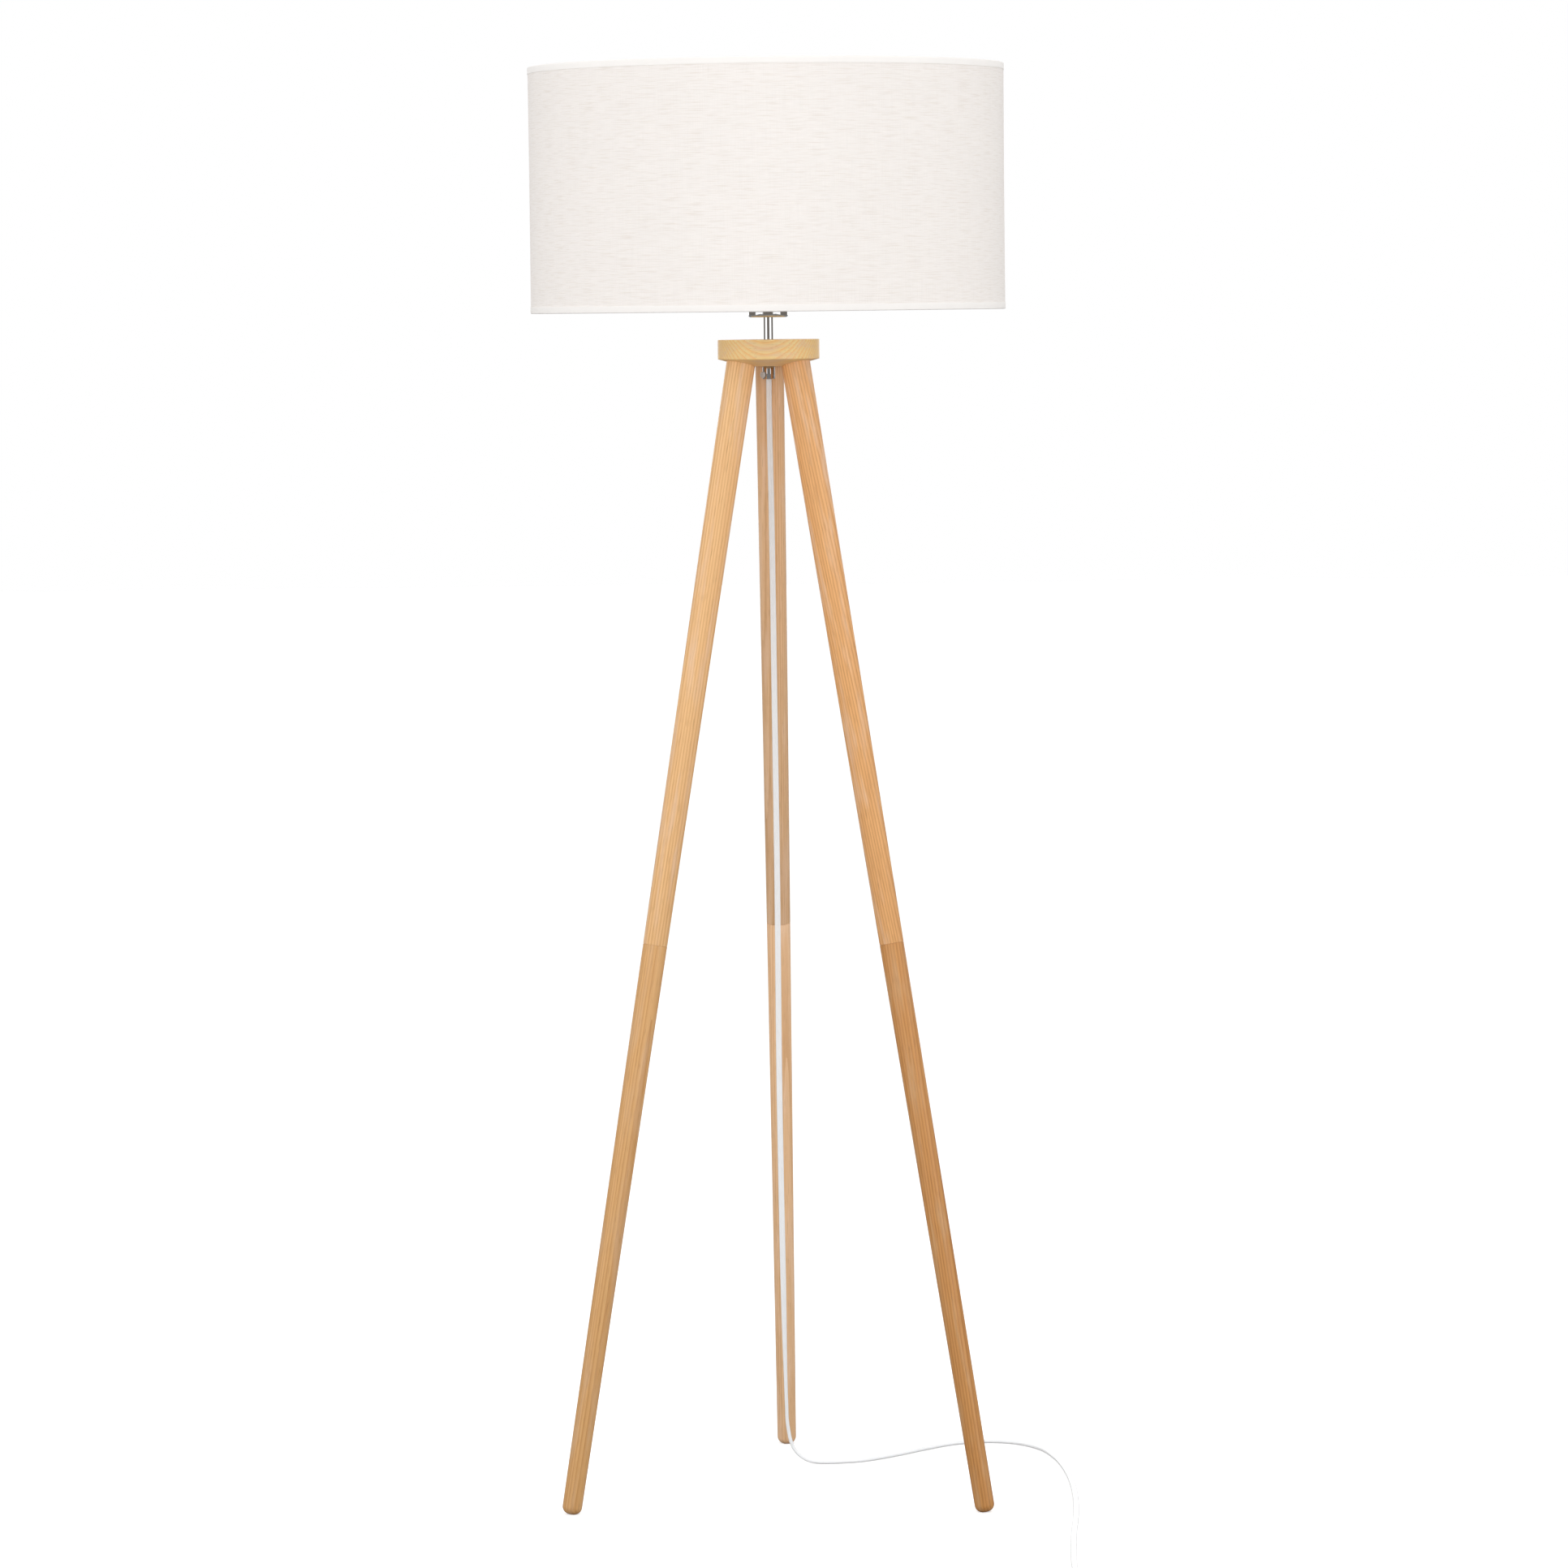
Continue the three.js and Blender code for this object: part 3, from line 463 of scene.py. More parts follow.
def varied(name, tint=None, rough=None, bump=None, uv_map=None, **constants):
    """A finish that noise varies. tint is a colour and the share of it left at its darkest, rough its
    lowest and highest roughness, bump its strength and height; the size and the detail of the noise
    behind each come last."""
    material, tree, shader = new_finish(name, **constants)
    if uv_map:
        place = add(tree, "UVMap", uv_map=uv_map).outputs["UV"]
    else:
        place = add(tree, "TexCoord").outputs["Object"]
    noises = {}
    for size, detail in (layer[2:] for layer in (tint, rough, bump) if layer):
        noises[size, detail] = add(
            tree, "TexNoise", {"Vector": place, "Scale": 1 / size, "Detail": detail}
        ).outputs["Fac"]
    if tint:
        base, share, *noise = tint
        mixed = add(
            tree,
            "Mix",
            {0: noises[tuple(noise)], 6: tuple(base), 7: deepen(base, share)},
            data_type="RGBA",
        ).outputs[2]
        tree.links.new(mixed, shader.inputs["Base Color"])
    if rough:
        low, high, *noise = rough
        spread = add(
            tree, "MapRange", {"Value": noises[tuple(noise)], "To Min": low, "To Max": high}
        ).outputs["Result"]
        tree.links.new(spread, shader.inputs["Roughness"])
    if bump:
        strength, height, *noise = bump
        relief = add(
            tree, "Bump", {"Height": noises[tuple(noise)], "Strength": strength, "Distance": height}
        )
        tree.links.new(relief.outputs["Normal"], shader.inputs["Normal"])
    return material


def woven_linen(name, ground, slub, pitch, slub_length):
    """Linen-look cloth: a plain weave whose weft has long thick slubs in beige and grey, over a
    soft mottling. The cloth map runs in metres, round the shade and up it."""
    material, tree, shader = new_finish(
        name, ior=1.45, specular=0.25, sheen=0.15, sheen_roughness=0.5, roughness=0.88
    )
    cloth = add(tree, "UVMap", uv_map="cloth").outputs["UV"]
    # The size of each kind of streak round the shade and up it, and its noise's span.
    kinds = [
        (slub_length, 1.2 * pitch, (0.5, 0.72)),
        (0.5 * slub_length, 0.9 * pitch, (0.38, 0.7)),
        (pitch, 1.5 * slub_length, (0.42, 0.72)),
        (160 * MM, 50 * MM, (0.35, 0.7)),
    ]
    slubs, threads, warp, mottle = (
        drawn_out(tree, cloth, (1 / across, 1 / up, 1), 1, (2, 0.6), span)[1] for across, up, span in kinds
    )
    grey = deepen(ground, 0.86)
    layers = [(mottle, 0.1, grey), (threads, 0.3, grey), (warp, 0.2, grey), (slubs, 0.6, slub)]
    tree.links.new(layered(tree, tuple(ground), layers), shader.inputs["Base Color"])
    raised = add(tree, "Math", {0: threads, 1: slubs}, operation="ADD").outputs[0]
    relief = add(tree, "Math", {0: raised, 1: warp}, operation="ADD").outputs[0]
    bump = add(tree, "Bump", {"Height": relief, "Strength": 0.35, "Distance": 0.12 * MM})
    tree.links.new(bump.outputs["Normal"], shader.inputs["Normal"])
    return material


def chrome():
    """Polished chrome plate on steel: a near mirror with the faintest polishing haze."""
    return finish(
        "polished_chrome_plate", varied, base=linear("#dcdddf"), metallic=1.0,
        rough=(0.03, 0.08, 4 * MM, 2),
    )


def plated(name, code, low, high, cloud):
    """Plated or turned metal: cloudy plating with fine tool marks that spread the shine."""
    return finish(
        name, varied, metallic=1.0, tint=(linear(code), 0.8, cloud, 3), rough=(low, high, cloud, 3),
        bump=(0.15, 0.03 * MM, 0.3 * MM, 1),
    )


def zinc():
    return plated("zinc_plated_steel", "#c3c7cc", 0.25, 0.4, 2 * MM)


def brass():
    return plated("turned_brass", "#d3ad5c", 0.2, 0.34, 3 * MM)


def nickel():
    return plated("nickel_plate", "#cfccc4", 0.14, 0.24, 4 * MM)


def white_plastic(colours):
    """Injection-moulded ABS: satin, with the fine spark-eroded grain of its mould."""
    return finish(
        "moulded_white_abs", varied, ior=1.53, specular=0.5, tint=(colours.plastic, 0.95, 30 * MM, 2),
        rough=(0.3, 0.44, 0.35 * MM, 2), bump=(0.2, 0.02 * MM, 0.35 * MM, 2),
    )


def clear_acrylic():
    """Clear moulded acrylic: water-clear with a bright gloss and a few flow lines."""
    return finish(
        "clear_acrylic", varied, base=linear("#eef2f4"), ior=1.49, transmission=0.25, roughness=0.12,
        bump=(0.1, 0.1 * MM, 1.5 * MM, 1),
    )


def white_enamel():
    """White enamel baked on wire: glossy with a slight orange-peel skin."""
    return finish(
        "white_enamelled_wire", varied, base=linear("#eceae6"), ior=1.5, coat=0.3,
        rough=(0.28, 0.42, 1.2 * MM, 1), bump=(0.2, 0.05 * MM, 1.2 * MM, 1),
    )


def shade_liner():
    """White laminated foil inside the shade: smooth, faintly wavy where it is glued to the cloth."""
    return finish(
        "white_laminate_liner", varied, base=linear("#f4f3f0"), ior=1.5, specular=0.4,
        uv_map="cloth", rough=(0.42, 0.58, 12 * MM, 2), bump=(0.25, 0.2 * MM, 12 * MM, 2),
    )


def hem_tape(colours, pitch):
    """Smooth woven edge tape glued round the shade's edges: close threads and almost no slubs."""
    return finish(
        "smooth_hem_tape", varied, ior=1.45, specular=0.3, sheen=0.1, roughness=0.75,
        tint=(colours.hem, 0.95, 20 * MM, 3), bump=(0.2, 0.06 * MM, 0.6 * pitch, 2),
    )


def opal():
    """Opal polycarbonate of a light bulb: milky and softly glossy, with a fine frost."""
    return finish(
        "opal_polycarbonate", varied, base=linear("#f6f5f1"), ior=1.58, coat=0.1, coat_roughness=0.2,
        rough=(0.22, 0.32, 2 * MM, 2),
    )


def cord_sheath(colours):
    """Soft PVC sheath, clear-white: glossy, with shallow ripples from its extrusion. A faint painted glow
    makes it show brighter than the light that falls on it."""
    return finish(
        "pvc_cord_sheath", varied, ior=1.52, specular=0.5, coat=0.15, coat_roughness=0.1,
        # painted glow: a faint white emission that brightens the sheath, though the cord is no lamp
        glow=(1, 1, 1, 1), glow_strength=0.1, tint=(colours.cord, 0.95, 15 * MM, 2),
        rough=(0.18, 0.3, 15 * MM, 2), bump=(0.15, 0.08 * MM, 3 * MM, 1),
    )


# ---------------------------------------------------------------- camera

EYE = (0.1669, -6.133, 1.266)
EYE_TURN = 1.454  # degrees to the left, from straight at the back
EYE_DIP = 4.74  # degrees below level
EYE_ROLL = -0.63  # degrees
FOCAL_LENGTH = 133.3
SENSOR_WIDTH = 36


class LAMP_OT_camera(bpy.types.Operator):
    """Set up the camera in front of the lamp, at eye height"""

    bl_idname = "lamp.camera"
    bl_label = "Camera"

    def execute(self, context):
        lens = bpy.data.cameras.new("camera")
        lens.sensor_width = SENSOR_WIDTH
        lens.lens = FOCAL_LENGTH
        lens.clip_end = 60
        camera = bpy.data.objects.new("camera", lens)
        turn = Matrix.Rotation(math.radians(EYE_TURN), 4, "Z")
        pitch = Matrix.Rotation(math.radians(90 - EYE_DIP), 4, "X")
        roll = Matrix.Rotation(math.radians(EYE_ROLL), 4, "Z")
        camera.matrix_world = Matrix.Translation(EYE) @ turn @ pitch @ roll
        context.scene.collection.objects.link(camera)
        context.scene.camera = camera
        return {"FINISHED"}


# ---------------------------------------------------------------- cord


def metres(*points):
    return [Vector(point) * MM for point in points]


FLOOR = CORD_THICKNESS / 2 / MM + 0.15  # height of the cord's middle on the floor, in millimetres
LINE = LINE_Y / MM
# From the cord grip to just above the floor, drifting towards the rear leg.
DROP_ROUTE = metres(
    (0, 0, 1185.6), (0, 0.5, 1150), (1, 6, 1050), (1.6, 21, 850),
    (1.8, 42, 640), (1, 68, 430), (1.8, 97, 230), (3.4, 124, 70),
)
# The bend onto the floor, the loose curve behind the right leg and the run to the front.
FLOOR_ROUTE = metres(
    (4.6, 129, 42), (11, 131, 17), (24, 131, 5.4), (37.5, 131, 2.5), (52, 132, FLOOR),
    (83, 140, FLOOR), (119, 168, FLOOR), (154, 204, FLOOR), (187, 233, FLOOR), (220, 243, FLOOR),
    (252, 236, FLOOR), (280, 204, FLOOR), (297, 150, FLOOR), (308, 70, FLOOR), (313, -30, FLOOR),
    (312, -140, FLOOR), (307, -250, FLOOR), (304, -360, FLOOR), (304, -455, FLOOR),
    (303, -509.3, FLOOR), (297.9, -528.3, FLOOR + 0.4), (284, -542.2, 3.2),
)
# Straight through the foot switch, then down to the coil.
SWITCH_ROUTE = metres(
    (265, LINE, 4.1), (259.3, LINE, 4.2), (200, LINE, 4.2), (140.7, LINE, 4.2), (137, LINE, 4.2),
    (126, LINE, 2.8), (114, LINE, FLOOR),
)
# From the top of the coil down to the floor and up into the plug's strain relief.
PLUG_ROUTE = metres(
    (66, LINE, FLOOR + 3.7), (50, LINE, 4.3), (32, LINE, 2.2), (16, LINE, 3), (4, LINE, 5.9),
    (-5, LINE, 6.8), (-12, LINE, 6.8),
)
COIL_TURNS = 3
COIL_OUTER_TURN = 37.3 * MM
SHIFT = 0.35  # share of a turn in which the cord changes lane or level


def ease(share):
    share = min(1.0, max(0.0, share))
    return share * share * (3 - 2 * share)


def coil_route():
    """One turn outside, one inside, then up onto both and outwards; clockwise from the front."""
    points = []
    steps_per_turn = 24
    for i in range(COIL_TURNS * steps_per_turn + 1):
        turn = i / steps_per_turn
        inwards = ease((turn - 0.6) / SHIFT) - ease((turn - 1.95) / SHIFT)
        radius = COIL_OUTER_TURN - CORD_WIDTH * inwards
        height = FLOOR * MM + CORD_THICKNESS * ease((turn - 1.3) / SHIFT)
        angle = -math.pi / 2 - math.tau * turn
        x = COIL_CENTRE.x + radius * math.cos(angle)
        y = COIL_CENTRE.y + radius * math.sin(angle)
        points.append(Vector((x, y, height)))
    return points


def part_way(first, second, low, high, at):
    return (first * (high - at) + second * (at - low)) / (high - low)


def curve_through(points, step):
    """Points about a step apart on the centripetal Catmull-Rom curve through a route."""
    ends = [points[0] * 2 - points[1], *points, points[-1] * 2 - points[-2]]
    path = []
    for p0, p1, p2, p3 in zip(ends, ends[1:], ends[2:], ends[3:]):
        t1 = (p1 - p0).length ** 0.5
        t2 = t1 + (p2 - p1).length ** 0.5
        t3 = t2 + (p3 - p2).length ** 0.5
        count = max(1, round((p2 - p1).length / step))
        for i in range(count):
            at = t1 + (t2 - t1) * i / count
            a1 = part_way(p0, p1, 0, t1, at)
            a2 = part_way(p1, p2, t1, t2, at)
            a3 = part_way(p2, p3, t2, t3, at)
            b1 = part_way(a1, a2, 0, t2, at)
            b2 = part_way(a2, a3, t1, t3, at)
            path.append(part_way(b1, b2, t1, t2, at))
    path.append(points[-1])
    return path


def cord_section():
    """The flat twin cord's outline, wide side first: two round cores with a shallow groove between."""
    core = CORD_THICKNESS / 2
    middle = CORD_WIDTH / 2 - core
    groove = 0.78 * core
    outline = []
    for side in (1, -1):
        for i in range(11):
            angle = math.radians(-112 + 22.4 * i)
            outline.append((side * (middle + core * math.cos(angle)), side * core * math.sin(angle)))
        outline.append((0, side * groove))
    return outline


def cord_tube(name, path, wide_at):
    """A closed tube of the cord's section; wide_at gives the wide side's direction at a share of
    the path's points."""
    section = cord_section()
    points = []
    for i, point in enumerate(path):
        along = (path[min(i + 1, len(path) - 1)] - path[max(i - 1, 0)]).normalized()
        wide = wide_at(i, along)
        wide = (wide - along * wide.dot(along)).normalized()
        thick = along.cross(wide)
        points += [point + wide * w + thick * t for w, t in section]
    sides = len(section)
    faces = [
        (ring + k, ring + (k + 1) % sides, ring + sides + (k + 1) % sides, ring + sides + k)
        for ring in range(0, len(points) - sides, sides)
        for k in range(sides)
    ]
    faces.append(tuple(range(sides))[::-1])
    faces.append(tuple(range(len(points) - sides, len(points))))
    mesh = bpy.data.meshes.new(name)
    mesh.from_pydata(points, [], faces)
    piece = bpy.data.objects.new(name, mesh)
    bpy.context.scene.collection.objects.link(piece)
    edit(piece)
    return close(piece)


GRIP_TWIST = 32  # degrees by which the cord is half turned to the front at the grip
GRIP_TWIST_SHARE = 0.5  # share of the drop in which that turn runs out
FLOOR_TWIST_SHARE = 0.18  # share of the drop, at its end, that lays the cord flat


class LAMP_OT_cord(bpy.types.Operator):
    """Lay the cord from the cord grip to the floor, through the switch and the coil to the plug"""

    bl_idname = "lamp.cord"
    bl_label = "Cord"

    def execute(self, context):
        route = [*DROP_ROUTE, *FLOOR_ROUTE, *SWITCH_ROUTE, *coil_route(), *PLUG_ROUTE]
        path = curve_through(route, 5 * MM)
        top, bottom = path[0].z, DROP_ROUTE[-1].z
        hanging = sum(1 for point in path if point.z > bottom)

        def wide_at(i, along):
            # Half turned to the front at the grip, flat to the front further down, and then
            # a quarter twist that lays the cord flat on the floor.
            share = (top - path[i].z) / (top - bottom)
            if i >= hanging:
                return Vector((0, 0, 1)).cross(along) if abs(along.z) < 0.9 else Vector((0, 1, 0))
            untwisted = GRIP_TWIST * (1 - ease(share / GRIP_TWIST_SHARE))
            laid = 90 * ease((share - 1) / FLOOR_TWIST_SHARE + 1)
            azimuth = math.radians(untwisted + laid)
            return Vector((math.cos(azimuth), math.sin(azimuth), 0))

        cord = cord_tube("mains_cord", path, wide_at)
        sheath = cord_sheath(context.scene.lamp_colours)
        replaced = ("cord_drop", "cord_floor", "cord_to_coil", "cord_coil", "cord_to_plug")
        finish_piece(cord, sheath, "stand", replaced, smooth=50)
        context.scene["cord_path"] = [list(point) for point in path]
        return {"FINISHED"}


# ---------------------------------------------------------------- wood


def leg_place(azimuth):
    """From a leg's own frame, +Z up its axis from the foot and +X outwards, to the lamp."""
    foot = Matrix.Translation((FOOT_CIRCLE_RADIUS, 0, FOOT_DROP - FOOT_FLAT_DEPTH))
    return Matrix.Rotation(math.radians(azimuth), 4, "Z") @ foot @ Matrix.Rotation(-SPLAY, 4, "Y")


def leg_radius(along):
    return LEG_FOOT_RADIUS + (LEG_TOP_RADIUS - LEG_FOOT_RADIUS) * along / LEG_LENGTH


def mark_tree(piece, lamp_to_board, pith, distance, tilt, slide):
    """Stores where each point lay in the tree: +Z up the trunk, the pith at X = Y = 0. The pith lies
    at an angle and a distance from the board's own axis, and leans towards it by a tilt."""
    aside = Matrix.Rotation(-math.radians(pith), 4, "Z")
    lean = Matrix.Rotation(math.radians(tilt), 4, "Y")
    to_tree = lean @ Matrix.Translation((-distance, 0, slide)) @ aside @ lamp_to_board
    place = piece.data.attributes.new("tree", "FLOAT_VECTOR", "POINT")
    for vertex, value in zip(piece.data.vertices, place.data):
        value.vector = to_tree @ vertex.co


class LAMP_OT_hub(bpy.types.Operator):
    """Turn the oak hub with its bore, nut seat and the holes for the leg inserts"""

    bl_idname = "lamp.hub"
    bl_label = "Hub"

    def execute(self, context):
        sizes, colours = context.scene.lamp_sizes, context.scene.lamp_colours
        edge, sides = sizes.hub_edge, sizes.round_sides
        bevel = math.degrees(math.atan(BEVEL_SLOPE))
        rim = HUB_RADIUS - edge
        hub = turned(
            "oak_hub",
            [
                (HUB_BORE_RADIUS, HUB_TOP),
                *arc(rim, HUB_TOP - edge, edge, 90, 0, 5),
                *arc(rim, RIM_BOTTOM + 0.4 * edge, edge, 0, bevel - 90, 4),
                *arc(HUB_FLAT_RADIUS, HUB_BOTTOM + edge, edge, bevel - 90, -90, 2),
                (NUT_SEAT_RADIUS, HUB_BOTTOM),
                (NUT_SEAT_RADIUS, HUB_BOTTOM + NUT_SEAT_DEPTH),
                (HUB_BORE_RADIUS, HUB_BOTTOM + NUT_SEAT_DEPTH),
                (HUB_BORE_RADIUS, HUB_TOP),
            ],
            sides,
            closed=True,
        )
        for azimuth in LEG_AZIMUTHS.values():
            start, end = LEG_LENGTH - 6 * MM, LEG_LENGTH + 16 * MM
            drill(hub, INSERT_HOLE_RADIUS, start, end, leg_place(azimuth))
        # The board's grain runs along X; its pith lay below and behind the hub.
        along_x = Matrix.Rotation(math.radians(-90), 4, "Y") @ Matrix.Translation((0, 0, -HUB_TOP))
        mark_tree(hub, along_x, 40, 82 * MM, 1.5, 0.31)
        tones = colours.oak_hub, colours.oak_hub_dark, colours.oak_ray
        oak = finish("oiled_oak_hub", oiled_oak, *tones, sizes.growth_ring, sizes.pore_width)
        finish_piece(hub, oak, "stand", ["hub"], smooth=25)
        return {"FINISHED"}


# Each half of a leg is its own board: where its pith lay from the board's axis, as an angle from
# straight outwards and a distance, how much it leaned, and how far up the trunk the board began.
BOARDS = {
    "lower_rear": (35, 60 * MM, 0.5, 3.1),
    "upper_rear": (-60, 75 * MM, -0.4, 7.3),
    "lower_left": (-75, 48 * MM, 0.6, 11.9),
    "upper_left": (-20, 70 * MM, 0.3, 5.7),
    "lower_right": (-160, 44 * MM, 0.7, 14.2),
    "upper_right": (25, 26 * MM, 2.6, 9.4),
}


# The front legs' lower halves were cut from browner boards, and they also carry painted shade that darkens
# them below the upper halves: their share of the leg's colours.
LOWER_BOARD_AND_SHADE_TONES = {"left": (0.72, 0.66, 0.54), "right": (0.66, 0.58, 0.42), "rear": (1,)}


class LAMP_OT_legs(bpy.types.Operator):
    """Turn the six leg halves, sand the feet level and fit the tops to the hub's bevel"""

    bl_idname = "lamp.legs"
    bl_label = "Legs"

    def execute(self, context):
        sizes, colours = context.scene.lamp_sizes, context.scene.lamp_colours
        edge, gap, sides = sizes.leg_edge, sizes.joint_gap, sizes.round_sides // 2
        seat = LEG_JOINT - WOOD_HOLE_DEPTH
        lower = turned(
            "lower",
            [
                *arc(LEG_FOOT_RADIUS - FOOT_ROUNDING, FOOT_ROUNDING, FOOT_ROUNDING, -90, 0, 8),
                (leg_radius(LEG_JOINT - edge), LEG_JOINT - edge),
                (leg_radius(LEG_JOINT) - 0.6 * edge, LEG_JOINT),
                (STUD_HOLE_RADIUS, LEG_JOINT),
                (STUD_HOLE_RADIUS, seat),
            ],
            sides,
        )
        start = LEG_JOINT + gap
        insert_seat = start + 22 * MM
        top = LEG_LENGTH + 8 * MM
        stud_seat = LEG_LENGTH - WOOD_HOLE_DEPTH
        upper = turned(
            "upper",
            [
                (INSERT_HOLE_RADIUS, insert_seat),
                (INSERT_HOLE_RADIUS, start),
                (leg_radius(start) - 0.6 * edge, start),
                (leg_radius(start + edge), start + edge),
                (leg_radius(top), top),
                (STUD_HOLE_RADIUS, top),
                (STUD_HOLE_RADIUS, stud_seat),
            ],
            sides,
        )
        for side, azimuth in LEG_AZIMUTHS.items():
            place = leg_place(azimuth)
            tones = getattr(colours, f"oak_{side}"), getattr(colours, f"oak_{side}_dark"), colours.oak_ray
            for half, shape in (("lower", lower), ("upper", upper)):
                leg = put(copy_of(shape, f"oak_leg_{half}_{side}"), place)
                if half == "lower":
                    self.sand_level(leg)
                else:
                    self.fit_to_hub(leg, gap)
                mark_tree(leg, place.inverted(), *BOARDS[f"{half}_{side}"])
                # Lower halves: browner board colour with painted shade laid in, darker than the upper
                # halves.
                browner_and_shaded = LOWER_BOARD_AND_SHADE_TONES[side] if half == "lower" else (1,)
                board_and_shade_tones = [deepen(shade, *browner_and_shaded) for shade in tones]
                name = f"oiled_oak_{half}_{side}"
                oak = finish(name, oiled_oak, *board_and_shade_tones, sizes.growth_ring, sizes.pore_width)
                finish_piece(leg, oak, "stand", [f"leg_{half}_{side}"], smooth=35)
        bpy.data.objects.remove(lower)
        bpy.data.objects.remove(upper)
        return {"FINISHED"}

    def sand_level(self, leg):
        edit(leg)
        bpy.ops.mesh.bisect(plane_co=(0, 0, 0), plane_no=(0, 0, 1), use_fill=True, clear_inner=True)
        bpy.ops.object.mode_set(mode="OBJECT")

    def fit_to_hub(self, leg, gap):
        outline = [
            (HUB_FLAT_RADIUS, HUB_BOTTOM - gap),
            (HUB_RADIUS + gap, RIM_BOTTOM - gap),
            (HUB_RADIUS + gap, HUB_TOP + gap),
        ]
        combine(leg, turned("hub_outline", outline, 96))


# ---------------------------------------------------------------- chrome stem and cord grip


class LAMP_OT_stem(bpy.types.Operator):
    """Make the chrome tube and the lampholder's cup"""

    bl_idname = "lamp.stem"
    bl_label = "Stem"

    def execute(self, context):
        sides = context.scene.lamp_sizes.round_sides
        low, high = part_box("centre_tube")
        outer, inner, edge = high.x, 3.8 * MM, 0.25 * MM
        tube = turned(
            "chrome_tube",
            [
                (inner, low.z), (outer - edge, low.z), (outer, low.z + edge),
                (outer, high.z - edge), (outer - edge, high.z), (inner, high.z), (inner, low.z),
            ],
            sides,
            closed=True,
        )
        finish_piece(tube, chrome(), "stand", ["centre_tube"], smooth=30)

        low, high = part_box("lampholder_cup")
        outer, wall, rounding, hole = high.x, 1 * MM, 2.5 * MM, 5.4 * MM
        lip = 0.5 * MM
        cup = turned(
            "chrome_cup",
            [
                (hole, low.z),
                *arc(outer - rounding, low.z + rounding, rounding, -90, 0, 10),
                (outer, high.z - lip),
                *arc(outer - wall / 2, high.z - lip, lip, 0, 180, 6),
                *arc(outer - rounding, low.z + rounding, rounding - wall, 0, -90, 6),
                (hole, low.z + wall),
                (hole, low.z),
            ],
            sides,
            closed=True,
        )
        finish_piece(cup, chrome(), "stand", ["lampholder_cup"], smooth=40)
        return {"FINISHED"}


class LAMP_OT_cord_grip(bpy.types.Operator):
    """Make the chrome cord grip and its clear thumbscrew"""

    bl_idname = "lamp.cord_grip"
    bl_label = "Cord Grip"

    def execute(self, context):
        sides = context.scene.lamp_sizes.round_sides
        low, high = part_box("cord_grip")
        outer, bore, neck, edge = high.x, 3.7 * MM, 5.4 * MM, 0.5 * MM
        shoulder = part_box("centre_tube")[0].z - 0.3 * MM
        grip = turned(
            "chrome_cord_grip",
            [
                (bore + 0.3 * MM, low.z),
                *rim(outer, low.z, high.z, edge, 4),
                (neck, high.z),
                (neck, shoulder),
                (bore, shoulder),
                (bore, low.z + 0.3 * MM),
                (bore + 0.3 * MM, low.z),
            ],
            sides,
            closed=True,
        )
        height = low.z + 4.5 * MM
        azimuth = Matrix.Rotation(math.radians(220), 4, "Z")
        aim = Matrix.Translation((0, 0, height)) @ azimuth @ Matrix.Rotation(math.radians(90), 4, "Y")
        drill(grip, 1.8 * MM, 2 * MM, 9 * MM, aim)
        finish_piece(grip, chrome(), "stand", ["cord_grip"], smooth=40)

        start = outer + 0.3 * MM
        knob, shank = 3.4 * MM, 1.5 * MM
        screw = turned(
            "clear_thumbscrew",
            [
                (shank - 0.3 * MM, bore - 0.2 * MM),
                (shank, bore + 0.1 * MM),
                (shank, start),
                (knob - 0.4 * MM, start),
                (knob, start + 0.4 * MM),
                (knob, start + 2.1 * MM),
                (knob - 0.5 * MM, start + 2.6 * MM),
                (1.6 * MM, start + 2.6 * MM),
                (1.2 * MM, start + 2.2 * MM),
            ],
            48,
        )
        edit(screw)
        # Every second pair of faces round the knob is pressed in, which leaves its grip ribs.
        step = math.tau / 24
        select(
            screw,
            "FACE",
            lambda middle, normal: Vector(middle[:2]).length > knob - 0.5 * MM
            and abs(normal.z) < 0.5
            and int((math.atan2(middle.y, middle.x) + math.pi) / step) % 2 == 0,
        )
        bpy.ops.mesh.inset(thickness=0.08 * MM, depth=-0.3 * MM)
        bpy.ops.object.mode_set(mode="OBJECT")
        put(screw, aim)
        finish_piece(
            screw, clear_acrylic(), "grip_screw", ["cord_grip_screw"], smooth=30
        )
        return {"FINISHED"}


# ---------------------------------------------------------------- lampholder and bulb


def threaded(radius, depth, low, high, pitch):
    """Profile points of a rolled thread: round crests and roots, one pair to each pitch."""
    turns = int((high - low) / pitch)
    steps = 6 * turns
    return [
        (radius - depth / 2 - depth / 2 * math.cos(math.tau * i / 6), low + turns * pitch * i / steps)
        for i in range(steps + 1)
    ]


